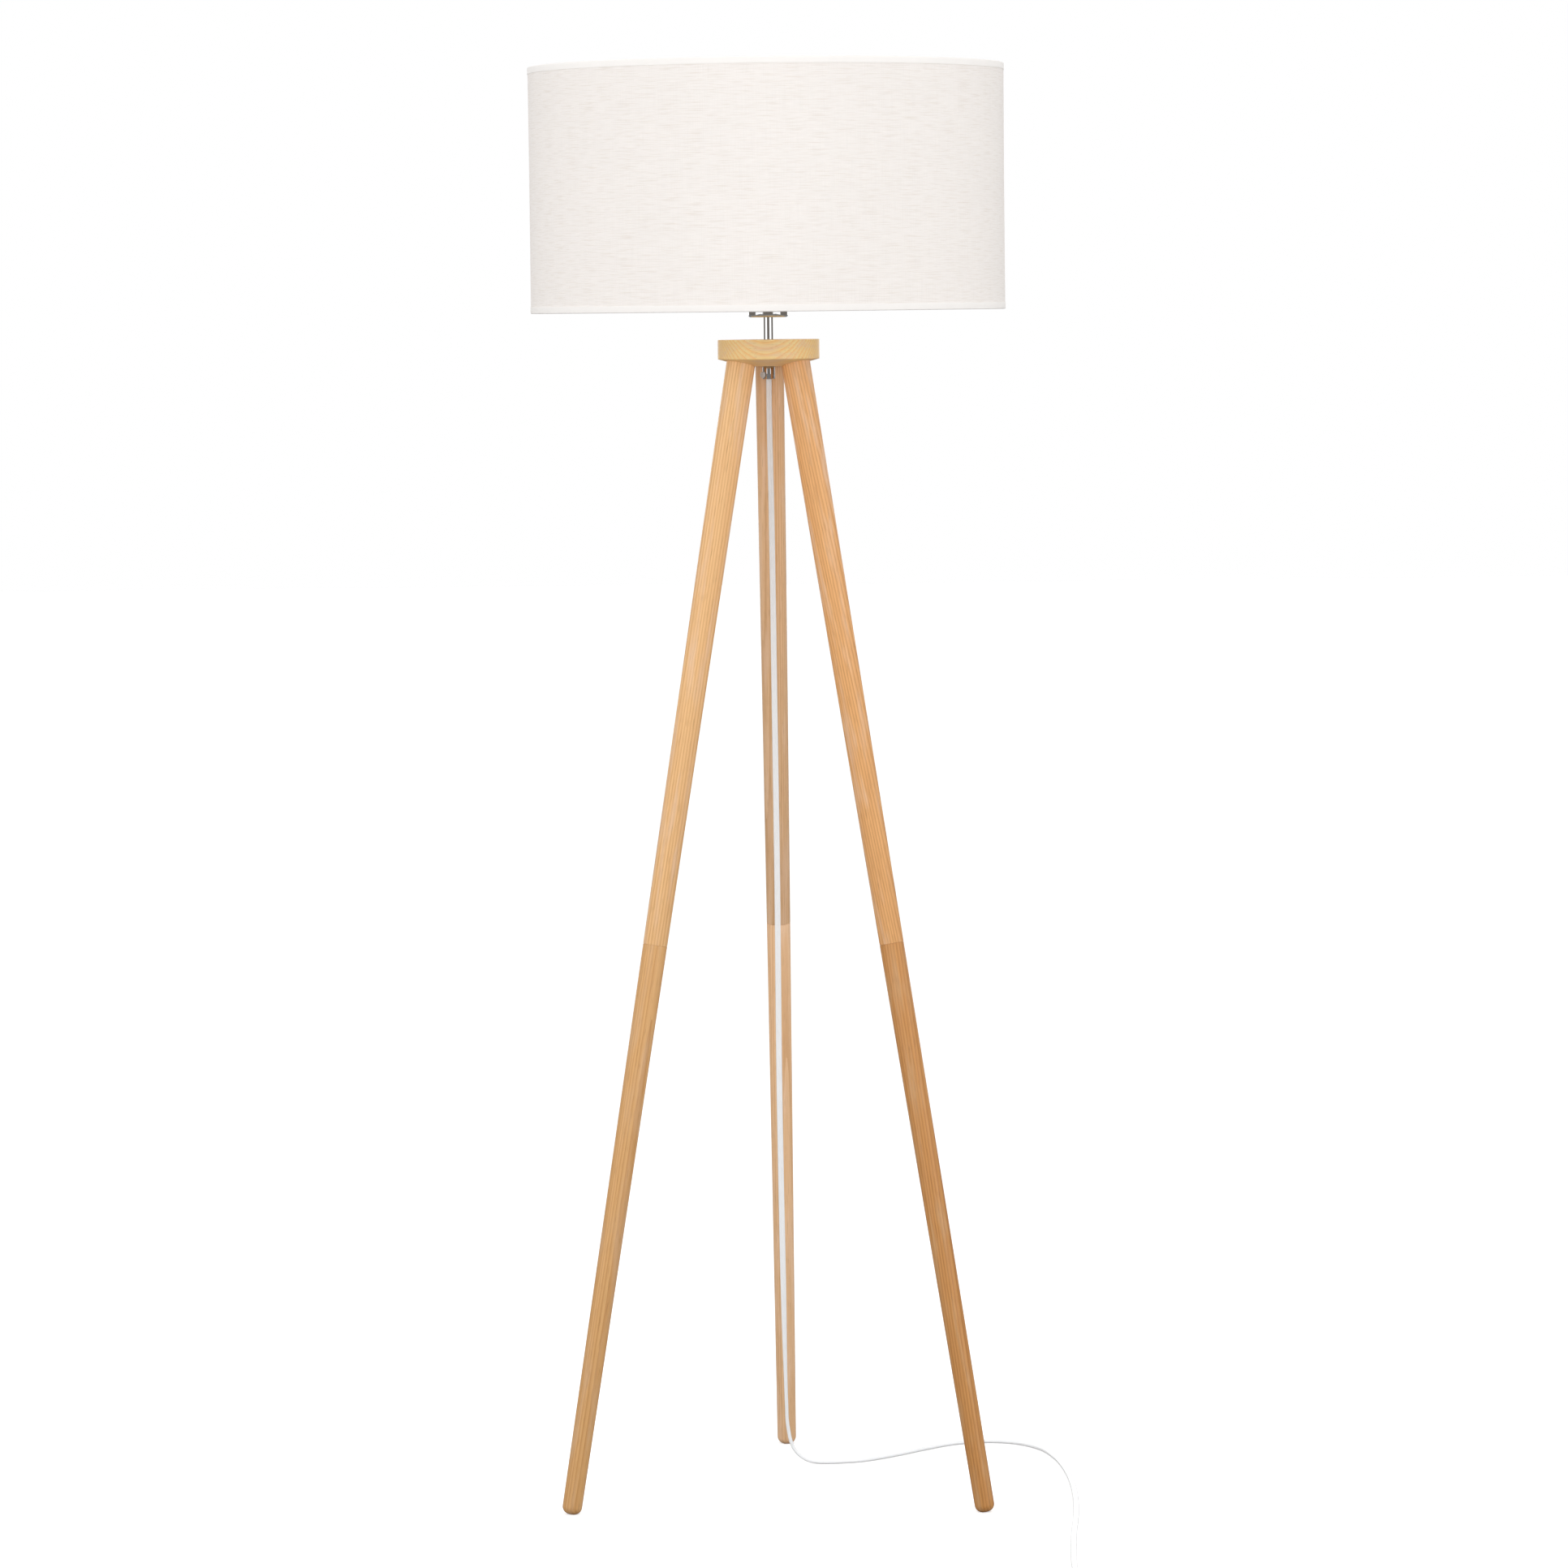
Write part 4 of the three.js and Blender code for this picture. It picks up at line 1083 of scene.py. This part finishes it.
class LAMP_OT_lampholder(bpy.types.Operator):
    """Make the threaded lampholder shell and the ring nut that clamps the shade"""

    bl_idname = "lamp.lampholder"
    bl_label = "Lampholder"

    def execute(self, context):
        sides = context.scene.lamp_sizes.round_sides
        plastic = white_plastic(context.scene.lamp_colours)
        low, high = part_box("lampholder_shell")
        flange, skirt, socket, step = high.x, 19.7 * MM, 14.8 * MM, 16.8 * MM
        flange_top = low.z + 2 * MM
        inner_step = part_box("contact_block")[1].z + 0.3 * MM
        shell = turned(
            "lampholder_skirt",
            [
                (step, low.z),
                (flange - 0.4 * MM, low.z),
                (flange, low.z + 0.4 * MM),
                (flange, flange_top - 0.4 * MM),
                (flange - 0.4 * MM, flange_top),
                (skirt - 0.5 * MM, flange_top),
                *threaded(skirt, 1.1 * MM, flange_top + 1.5 * MM, high.z - 3 * MM, 3.2 * MM),
                (skirt - 0.6 * MM, high.z - 1 * MM),
                *arc(skirt - 1.6 * MM, high.z - 1 * MM, 1 * MM, 0, 90, 4),
                *arc(socket + 1 * MM, high.z - 1 * MM, 1 * MM, 90, 180, 4),
                (socket, inner_step),
                (step, inner_step),
                (step, low.z),
            ],
            sides,
            closed=True,
        )
        finish_piece(shell, plastic, "stand", ["lampholder_shell"], smooth=40)

        low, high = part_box("shade_ring_nut")
        outer, thread, edge = 27 * MM, 20.1 * MM, 0.8 * MM
        nut = turned(
            "shade_ring_nut_ribbed",
            [
                (thread, low.z),
                *rim(outer, low.z, high.z, edge, 4),
                (thread + 3 * MM, high.z),
                (thread + 2.4 * MM, high.z - 1 * MM),
                (thread, high.z - 1 * MM),
                (thread, low.z),
            ],
            sides,
            closed=True,
        )
        edit(nut)
        sector = math.tau / 12
        select(
            nut,
            "VERT",
            lambda point, normal: Vector(point[:2]).length > outer - 0.9 * MM
            and ((math.atan2(point.y, point.x) + math.tau) / sector) % 1 > 0.5,
        )
        bpy.ops.transform.resize(value=(0.963, 0.963, 1), center_override=(0, 0, low.z))
        bpy.ops.object.mode_set(mode="OBJECT")
        finish_piece(nut, plastic, "ring_nut", ["shade_ring_nut"], smooth=30)
        return {"FINISHED"}


class LAMP_OT_bulb(bpy.types.Operator):
    """Make the bulb: rolled screw cap, white body and opal globe"""

    bl_idname = "lamp.bulb"
    bl_label = "Bulb"

    def execute(self, context):
        sides = context.scene.lamp_sizes.round_sides
        low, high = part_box("bulb_screw_cap")
        outer = 13.2 * MM
        cap = turned(
            "bulb_cap_rolled",
            [
                (7 * MM, low.z),
                (outer - 1.4 * MM, low.z + 3 * MM),
                *threaded(outer, 1.2 * MM, low.z + 4 * MM, high.z - 5 * MM, 3.6 * MM),
                (outer - 0.6 * MM, high.z - 3 * MM),
                (outer - 0.6 * MM, high.z),
            ],
            sides,
        )
        finish_piece(cap, nickel(), "bulb", ["bulb_screw_cap"], smooth=40)

        low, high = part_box("bulb_body")
        globe_low, globe_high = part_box("bulb_globe")
        neck, shoulder, radius = 13.8 * MM, 28.6 * MM, 30 * MM
        rise = high.z - low.z
        shares = [i / 14 for i in range(15)]
        flare = [
            (neck + (shoulder - neck) * ease(share), low.z + rise * (0.12 + 0.84 * share))
            for share in shares
        ]
        body = turned("bulb_heat_sink", [(neck, low.z), *flare, (shoulder, high.z)], sides)
        plastic = white_plastic(context.scene.lamp_colours)
        finish_piece(body, plastic, "bulb", ["bulb_body"])

        centre = globe_high.z - radius
        first = -math.degrees(math.asin((centre - globe_low.z) / radius))
        globe = turned("bulb_opal_globe", arc(0, centre, radius, first, 88, 26), sides)
        finish_piece(globe, opal(), "bulb", ["bulb_globe"], smooth=60)
        return {"FINISHED"}


# ---------------------------------------------------------------- shade


class LAMP_OT_shade(bpy.types.Operator):
    """Roll the fabric skin with its lapped seam and fold the two hem tapes over its edges"""

    bl_idname = "lamp.shade"
    bl_label = "Shade"

    def execute(self, context):
        sizes, colours = context.scene.lamp_sizes, context.scene.lamp_colours
        skin = self.roll_skin(sizes)
        threads = sizes.thread_pitch, sizes.slub_length
        linen = finish("off_white_linen", woven_linen, colours.linen, colours.linen_slub, *threads)
        finish_piece(skin, [linen, shade_liner()], "shade", ["shade_skin"], smooth=30)
        for face in skin.data.polygons:
            outward = face.normal.x * face.center.x + face.normal.y * face.center.y > 0
            face.material_index = 0 if outward else 1
        tape = hem_tape(colours, sizes.thread_pitch)
        hems = [
            self.fold_hem("top", SHADE_HIGH, -1),
            self.fold_hem("bottom", SHADE_LOW, 1),
        ]
        for hem, end in zip(hems, ("top", "bottom")):
            finish_piece(hem, tape, "shade", [f"shade_hem_{end}"], smooth=50)
        return {"FINISHED"}

    def roll_skin(self, sizes):
        """A sheet bent once round and a little more; its first end tucks in under its last."""
        start_clean()
        low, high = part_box("shade_skin")
        columns, rows = 240, 10
        lap = sizes.seam_overlap / SKIN_RADIUS
        bpy.ops.mesh.primitive_grid_add(x_subdivisions=columns, y_subdivisions=rows, size=1)
        skin = named(bpy.context.object, "linen_shade")
        cloth = skin.data.uv_layers[0]
        cloth.name = "cloth"
        span = math.tau + lap
        around = SKIN_RADIUS * span
        for corner in cloth.data:
            corner.uv = (corner.uv.x * around, corner.uv.y * (high.z - low.z))
        for vertex in skin.data.vertices:
            share = vertex.co.x + 0.5
            angle = math.radians(SEAM_AZIMUTH) + share * span
            step = SKIN_SHEET * 1.15 * (1 - ease((share * span - lap) / lap))
            # The cloth is pulled over two rings, so it draws in very slightly between them.
            height = vertex.co.y + 0.5
            waist = 0.25 * MM * math.sin(math.pi * height)
            radius = SKIN_RADIUS - step - waist
            vertex.co = (
                radius * math.cos(angle), radius * math.sin(angle), low.z + height * (high.z - low.z)
            )
        take(skin)
        thick = skin.modifiers.new("thickness", "SOLIDIFY")
        thick.thickness = SKIN_SHEET
        thick.offset = 0
        bpy.ops.object.modifier_apply(modifier=thick.name)
        edit(skin)
        return close(skin)

    def fold_hem(self, end, height, inwards):
        """A tape folded over an edge of the shade, with a round fold; its legs run inwards."""
        low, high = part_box(f"shade_hem_{end}")
        reach = (high.z - low.z) * inwards
        outer, inner = SHADE_RADIUS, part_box(f"shade_ring_{end}")[1].x - RING_WIRE - HEM_SLACK
        fold = 1.1 * MM
        quarter = [(math.cos(math.radians(a)), math.sin(math.radians(a))) for a in range(0, 91, 15)]
        small = fold - TAPE

        def fold_points(middle, side, size):
            return [(middle + side * size * c, height + inwards * (fold - size * s)) for c, s in quarter]

        profile = [
            (outer, height + reach),
            *fold_points(outer - fold, 1, fold),
            *fold_points(inner + fold, -1, fold)[::-1],
            (inner, height + reach),
            (inner + TAPE, height + reach),
            *fold_points(inner + fold, -1, small),
            *fold_points(outer - fold, 1, small)[::-1],
            (outer - TAPE, height + reach),
            (outer, height + reach),
        ]
        return turned(f"hem_tape_{end}", profile, 240, closed=True)


class LAMP_OT_spider(bpy.types.Operator):
    """Make the wire spider: a washer on the lampholder and three spokes to the lower ring"""

    bl_idname = "lamp.spider"
    bl_label = "Spider"

    def execute(self, context):
        low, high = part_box("shade_spider")
        top, thickness = high.z, 1.5 * MM
        bottom = top - thickness
        edge = 0.4 * MM
        washer = turned(
            "shade_spider_wire",
            [
                (20.2 * MM, bottom),
                *rim(28 * MM, bottom, top, edge, 3),
                (20.2 * MM, top),
                (20.2 * MM, bottom),
            ],
            context.scene.lamp_sizes.round_sides,
            closed=True,
        )
        wire = 1.75 * MM
        ring_height = SHADE_LOW + 2.8 * MM
        start = Vector((26.4 * MM, 0, (top + bottom) / 2 - 0.9 * MM))
        end = Vector((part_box("shade_ring_bottom")[1].x - 4.2 * MM, 0, ring_height))
        span = end - start
        for azimuth in LEG_AZIMUTHS.values():
            spoke = turned("spoke", [(wire * 0.7, 0), (wire, wire * 0.4), (wire, span.length)], 24)
            aim = Matrix.Translation(start) @ span.to_track_quat("Z", "Y").to_matrix().to_4x4()
            put(spoke, Matrix.Rotation(math.radians(azimuth), 4, "Z") @ aim)
            combine(washer, spoke, "UNION")
        finish_piece(washer, white_enamel(), "shade", ["shade_spider"], smooth=35)
        return {"FINISHED"}


# ---------------------------------------------------------------- foot switch and plug


def ribbed_relief(name, start, direction, size, tip, reach, ribs):
    """A soft strain relief: a taper along X with rings cut into it, from a housing to the cord."""
    pitch = reach / (ribs + 1)
    profile = [(size, -4 * MM), (size, 0.6 * pitch)]
    for i in range(ribs):
        at = (i + 0.6) * pitch
        radius = size + (tip - size) * at / reach
        groove = radius - 0.75 * MM
        profile += [
            (radius, at + 0.1 * pitch),
            (groove, at + 0.2 * pitch),
            (groove, at + 0.5 * pitch),
            (radius, at + 0.6 * pitch),
        ]
    profile += [(tip, reach - 0.5 * MM), (tip - 0.5 * MM, reach)]
    turn = Matrix.Rotation(math.radians(90 * direction), 4, "Y")
    return put(turned(name, profile, 40), Matrix.Translation(start) @ turn)


class LAMP_OT_switch(bpy.types.Operator):
    """Make the foot switch: hollow base and cover, the round button and two strain reliefs"""

    bl_idname = "lamp.switch"
    bl_label = "Foot Switch"

    def execute(self, context):
        plastic = white_plastic(context.scene.lamp_colours)
        low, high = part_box("switch_cover")
        corner, wall = 20 * MM, 2.2 * MM
        inside = Vector((wall, wall, 0))
        up = Vector((0, 0, 1))
        button_low, button_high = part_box("switch_button")
        button = 14 * MM

        cover = rounded_box("switch_lid", low, high, corner, 3.2 * MM, 10)
        hollow_low = low + inside - up * MM
        hollow_high = high - inside - up * wall
        combine(cover, rounded_box("hollow", hollow_low, hollow_high, corner - wall, 0, 10))
        centre = Vector((SWITCH_X, LINE_Y, 0))
        hole = turned(
            "hole",
            [
                (button + 0.5 * MM, low.z),
                (button + 0.5 * MM, high.z - 0.9 * MM),
                (button + 1.6 * MM, high.z + 0.2 * MM),
            ],
            96,
        )
        combine(cover, put(hole, Matrix.Translation(centre)))
        finish_piece(cover, plastic, "stand", ["switch_cover"], smooth=30)

        base_low = Vector((low.x, low.y, 0))
        base_high = Vector((high.x, high.y, 10 * MM))
        base = rounded_box("switch_base_tray", base_low, base_high, corner, 0.8 * MM, 10)
        tray_low = base_low + inside + up * wall
        tray_high = base_high - inside + up * MM
        combine(base, rounded_box("hollow", tray_low, tray_high, corner - wall, 0, 10))
        for side in (-1, 1):
            post = Matrix.Translation(centre + Vector((side * 28 * MM, 0, 0)))
            drill(base, 3.1 * MM, -1 * MM, 2.6 * MM, post)
        finish_piece(base, plastic, "stand", ["switch_base"], smooth=30)

        rise = button_high.z - 2 * MM
        lip = high.z - wall - 0.3 * MM
        knob = turned(
            "switch_push_button",
            [
                (3 * MM, button_low.z),
                (3 * MM, lip - 2 * MM),
                (button + 2 * MM, lip - 2 * MM),
                (button + 2 * MM, lip),
                (button, lip),
                (button, rise),
                *self.dished(button, button_high.z),
            ],
            96,
        )
        put(knob, Matrix.Translation(centre))
        finish_piece(knob, plastic, "switch_button", ["switch_button"], smooth=40)

        for name, direction in (("switch_relief_in", 1), ("switch_relief_out", -1)):
            start = Vector((SWITCH_X + direction * (high.x - low.x) / 2, LINE_Y, 4.2 * MM))
            relief = ribbed_relief(name, start, direction, 4.1 * MM, 3.7 * MM, 22 * MM, 6)
            finish_piece(relief, plastic, "stand", smooth=40)
        return {"FINISHED"}

    def dished(self, radius, high):
        """A button's rounded shoulder and shallow dish for the foot."""
        shoulder = arc(radius - 2 * MM, high - 2 * MM, 2 * MM, 0, 90, 6)[1:]
        bowl = [
            (radius * share, high - 1.1 * MM * ease(1.15 * (1 - share)))
            for share in (0.75, 0.6, 0.45, 0.3, 0.15)
        ]
        return shoulder + bowl


PIN_OFFSET = 9.3 * MM
SLEEVE_HOLE_RADIUS = 2.3 * MM
# Half widths of the plug's grip at distances from the face with the pins, in millimetres.
PLUG_WIDTHS = [(0, 16.2), (9, 17.6), (14, 17.2), (21, 13.8), (29, 8.2), (34, 7.0)]


class LAMP_OT_plug(bpy.types.Operator):
    """Make the flat two-pin plug with sleeved pins and a ribbed strain relief"""

    bl_idname = "lamp.plug"
    bl_label = "Plug"

    def execute(self, context):
        plastic = white_plastic(context.scene.lamp_colours)
        low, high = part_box("plug_body")
        middle = (low.z + high.z) / 2
        half_thick = (high.z - low.z) / 2
        start_clean()
        bpy.ops.mesh.primitive_plane_add(size=2, rotation=(0, math.radians(-90), 0))
        body = named(bpy.context.object, "plug_grip")
        body.scale = (half_thick, PLUG_WIDTHS[0][1] * MM, 1)
        body.location = (low.x, LINE_Y, middle)
        apply_place(body)
        edit(body)
        for (at, width), (next_at, next_width) in zip(PLUG_WIDTHS, PLUG_WIDTHS[1:]):
            move = ((next_at - at) * MM, 0, 0)
            bpy.ops.mesh.extrude_region_move(TRANSFORM_OT_translate={"value": move})
            ratio = next_width / width
            bpy.ops.transform.resize(
                value=(1, ratio, 1), center_override=(low.x + next_at * MM, LINE_Y, middle)
            )
        close(body)
        soften(body, 3.4 * MM, 5)
        pins = {"front": -PIN_OFFSET, "back": PIN_OFFSET}
        turn = Matrix.Rotation(math.radians(90), 4, "Y")
        for side in pins.values():
            face = Matrix.Translation((low.x, LINE_Y + side, middle)) @ turn
            drill(body, SLEEVE_HOLE_RADIUS, -2 * MM, 8 * MM, face)
        finish_piece(body, plastic, "stand", ["plug_body"], smooth=40)

        relief_start = Vector((low.x + PLUG_WIDTHS[-1][0] * MM, LINE_Y, middle))
        relief = ribbed_relief("plug_relief", relief_start, 1, 5.0 * MM, 3.8 * MM, 25 * MM, 7)
        finish_piece(relief, plastic, "stand", smooth=40)

        for name, side in pins.items():
            pin = turned(
                f"plug_pin_{name}_sleeved",
                [
                    (0.9 * MM, -19 * MM),
                    *arc(1.2 * MM, -18.2 * MM, 0.8 * MM, -90, 0, 4),
                    (2.0 * MM, -9.2 * MM),
                    (1.85 * MM, -9 * MM),
                    (2.0 * MM, -8.8 * MM),
                    (2.0 * MM, 7.7 * MM),
                ],
                40,
            )
            put(pin, Matrix.Translation((low.x, LINE_Y + side, middle)) @ turn)
            finish_piece(pin, [nickel(), plastic], "stand", [f"plug_pin_{name}"], smooth=40)
            for face in pin.data.polygons:
                face.material_index = 1 if face.center.x > low.x - 9 * MM else 0

        return {"FINISHED"}


class LAMP_OT_inner_parts(bpy.types.Operator):
    """Give the inner metal and plastic parts that the frame already shapes their finishes"""

    bl_idname = "lamp.inner_parts"
    bl_label = "Inner Parts"

    def execute(self, context):
        colours = context.scene.lamp_colours
        plastic = white_plastic(colours)
        kept = {
            "tube_lock_nut": zinc(),
            "cup_nut": zinc(),
            "switch_screw_in": zinc(),
            "switch_screw_out": zinc(),
            "lampholder_cap": plastic,
            "contact_block": plastic,
            "switch_mechanism": plastic,
            "centre_contact": brass(),
            "side_contact": brass(),
            "bulb_tip_contact": nickel(),
            "shade_ring_top": white_enamel(),
            "shade_ring_bottom": white_enamel(),
            "inner_lead": cord_sheath(colours),
        }
        for side in LEG_AZIMUTHS:
            kept[f"joint_stud_{side}"] = kept[f"hub_stud_{side}"] = zinc()
            kept[f"joint_insert_{side}"] = kept[f"hub_insert_{side}"] = brass()
        for name, material in kept.items():
            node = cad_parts[name]
            for place in node.material_slots:
                place.material = material
        return {"FINISHED"}


# ---------------------------------------------------------------- stage


# Each soft box: its place, its width and height, and its power in watts.
SOFT_BOXES = {
    "soft_box_left": ((-2.9, -1.7, 1.5), (1.4, 1.8), 26),
    "soft_box_right": ((2.9, -1.7, 1.4), (1.4, 1.8), 24),
    "soft_box_front": ((0.3, -4.2, 1.6), (1.2, 1.2), 28),
    "soft_box_top": ((0, -0.8, 3.4), (2.6, 2.6), 12),
}
SOFT_BOX_AIM = Vector((0, 0, 1.1))
FLOOR_GLOW = 0.44
FLOOR_BOUNCE = (0.32, 0.31, 0.3, 1)
HORIZON_GLOW = 1.3
ZENITH_GLOW = 0.38
MIRRORED_GLOW = (1.6, 1.6, 1.6, 1)
MIRRORED_FLAGS = (0.2, 0.178, 0.155, 1)
# Degrees to either side of straight in front; a span that starts below 0 has no inner end.
FLAG_SPANS = ((-20, 30), (76, 148))
FLAG_EDGE = math.radians(4)
FLAG_TOP = (0.35, 0.6)  # heights between which the flags fade out, as the sine of their elevation


class LAMP_OT_stage(bpy.types.Operator):
    """Set the pale studio: a white floor, a bright surround with dark flags, and soft boxes"""

    bl_idname = "lamp.stage"
    bl_label = "Stage"

    def execute(self, context):
        start_clean()
        bpy.ops.mesh.primitive_plane_add(size=40, location=(0, 0, 0))
        floor = named(context.object, "studio_floor")
        floor.data.materials.append(self.floor_paint())
        for name, settings in SOFT_BOXES.items():
            self.soft_box(name, *settings)
        self.surround(context.scene)
        context.scene.view_settings.view_transform = "Standard"
        return {"FINISHED"}

    def floor_paint(self):
        """Matt white paint that the eye sees lit from within, so that it meets the white surround
        without an edge; to the lamp it is a mid grey, which keeps the undersides dark."""
        paint, tree, shader = new_finish(
            "white_studio_floor", base=linear("#f2f2f2"), roughness=0.9, specular=0.1,
            glow=(1, 1, 1, 1), glow_strength=FLOOR_GLOW,
        )
        grey = add(tree, "BsdfDiffuse", {"Color": FLOOR_BOUNCE}).outputs[0]
        eye = add(tree, "LightPath").outputs["Is Camera Ray"]
        both = add(tree, "MixShader", {0: eye, 1: grey, 2: shader.outputs[0]}).outputs[0]
        tree.links.new(both, tree.nodes["Material Output"].inputs["Surface"])
        return paint

    def soft_box(self, name, at, size, power):
        lamp = bpy.data.lights.new(name, "AREA")
        lamp.shape = "RECTANGLE"
        lamp.size, lamp.size_y = size
        lamp.energy = power
        box = bpy.data.objects.new(name, lamp)
        aim = SOFT_BOX_AIM - Vector(at)
        box.matrix_world = Matrix.Translation(at) @ aim.to_track_quat("-Z", "Y").to_matrix().to_4x4()
        box.visible_camera = False
        box.visible_glossy = False
        bpy.context.scene.collection.objects.link(box)

    def surround(self, scene):
        """White all round for the eye, and a light on the lamp that is brightest at the horizon; for
        reflections alone, dark flags behind the camera and at the sides give polished metal its
        crisp bands."""
        world = bpy.data.worlds.new("studio_surround")
        scene.world = world
        world.use_nodes = True
        tree = world.node_tree
        tree.nodes.clear()
        direction = add(tree, "TexCoord").outputs["Generated"]
        parts = add(tree, "SeparateXYZ", {0: direction}).outputs
        front = add(tree, "Math", {0: parts[1], 1: -1.0}, operation="MULTIPLY").outputs[0]
        turn = add(tree, "Math", {0: parts[0], 1: front}, operation="ARCTAN2").outputs[0]
        aside = add(tree, "Math", {0: turn}, operation="ABSOLUTE").outputs[0]

        spans = []
        for low, high in FLAG_SPANS:
            ends = []
            for end, share in ((math.radians(low), 1.0), (math.radians(high), 0.0)):
                span = {"From Min": end - FLAG_EDGE, "From Max": end + FLAG_EDGE}
                links = {"Value": aside, **span, "To Min": 1 - share, "To Max": share}
                ends.append(add(tree, "MapRange", links).outputs[0])
            spans.append(add(tree, "Math", dict(enumerate(ends)), operation="MULTIPLY").outputs[0])
        flags = add(tree, "Math", dict(enumerate(spans)), operation="ADD").outputs[0]
        height = add(tree, "Math", {0: parts[2]}, operation="ABSOLUTE").outputs[0]
        fade = {"From Min": FLAG_TOP[0], "From Max": FLAG_TOP[1], "To Min": 1.0, "To Max": 0.0}
        standing = add(tree, "MapRange", {"Value": height, **fade}).outputs[0]
        path = add(tree, "LightPath").outputs
        dark = add(tree, "Math", {0: flags, 1: standing}, operation="MULTIPLY").outputs[0]
        mirrored = add(
            tree, "Mix", {0: dark, 6: MIRRORED_GLOW, 7: MIRRORED_FLAGS}, data_type="RGBA"
        ).outputs[2]
        spread = add(
            tree, "MapRange", {"Value": height, "To Min": HORIZON_GLOW, "To Max": ZENITH_GLOW}
        ).outputs[0]
        glow = add(
            tree, "Mix", {0: path["Is Glossy Ray"], 6: spread, 7: mirrored}, data_type="RGBA"
        ).outputs[2]
        lit = add(tree, "Background", {"Color": glow, "Strength": 1.0}).outputs[0]
        seen = add(tree, "Background", {"Color": (1, 1, 1, 1), "Strength": 1.0}).outputs[0]
        both = add(tree, "MixShader", {0: path["Is Camera Ray"], 1: lit, 2: seen}).outputs[0]
        add(tree, "OutputWorld", {"Surface": both})


# ---------------------------------------------------------------- add-on


OPERATORS = [
    LAMP_OT_camera,
    LAMP_OT_cord,
    LAMP_OT_hub,
    LAMP_OT_legs,
    LAMP_OT_stem,
    LAMP_OT_cord_grip,
    LAMP_OT_lampholder,
    LAMP_OT_bulb,
    LAMP_OT_shade,
    LAMP_OT_spider,
    LAMP_OT_switch,
    LAMP_OT_plug,
    LAMP_OT_inner_parts,
    LAMP_OT_stage,
]


class LAMP_PT_pieces(bpy.types.Panel):
    """Lists the lamp's pieces and their settings"""

    bl_idname = "LAMP_PT_pieces"
    bl_label = "Tripod Floor Lamp"
    bl_space_type = "VIEW_3D"
    bl_region_type = "UI"
    bl_category = "Lamp"

    def draw(self, context):
        for group in (context.scene.lamp_sizes, context.scene.lamp_colours):
            box = self.layout.box()
            for name in group.bl_rna.properties.keys():
                if name not in {"rna_type", "name"}:
                    box.prop(group, name)
        for operator in OPERATORS:
            self.layout.operator(operator.bl_idname)


CLASSES = [LampSizes, LampColours, *OPERATORS, LAMP_PT_pieces]
SETTINGS = {"lamp_sizes": LampSizes, "lamp_colours": LampColours}


def register():
    for item in CLASSES:
        bpy.utils.register_class(item)
    for name, group in SETTINGS.items():
        setattr(bpy.types.Scene, name, PointerProperty(type=group))


def unregister():
    for name in SETTINGS:
        delattr(bpy.types.Scene, name)
    for item in reversed(CLASSES):
        bpy.utils.unregister_class(item)


def main():
    register()
    for operator in OPERATORS:
        getattr(bpy.ops.lamp, operator.bl_idname.split(".")[1])()


if __name__ == "__main__":
    main()
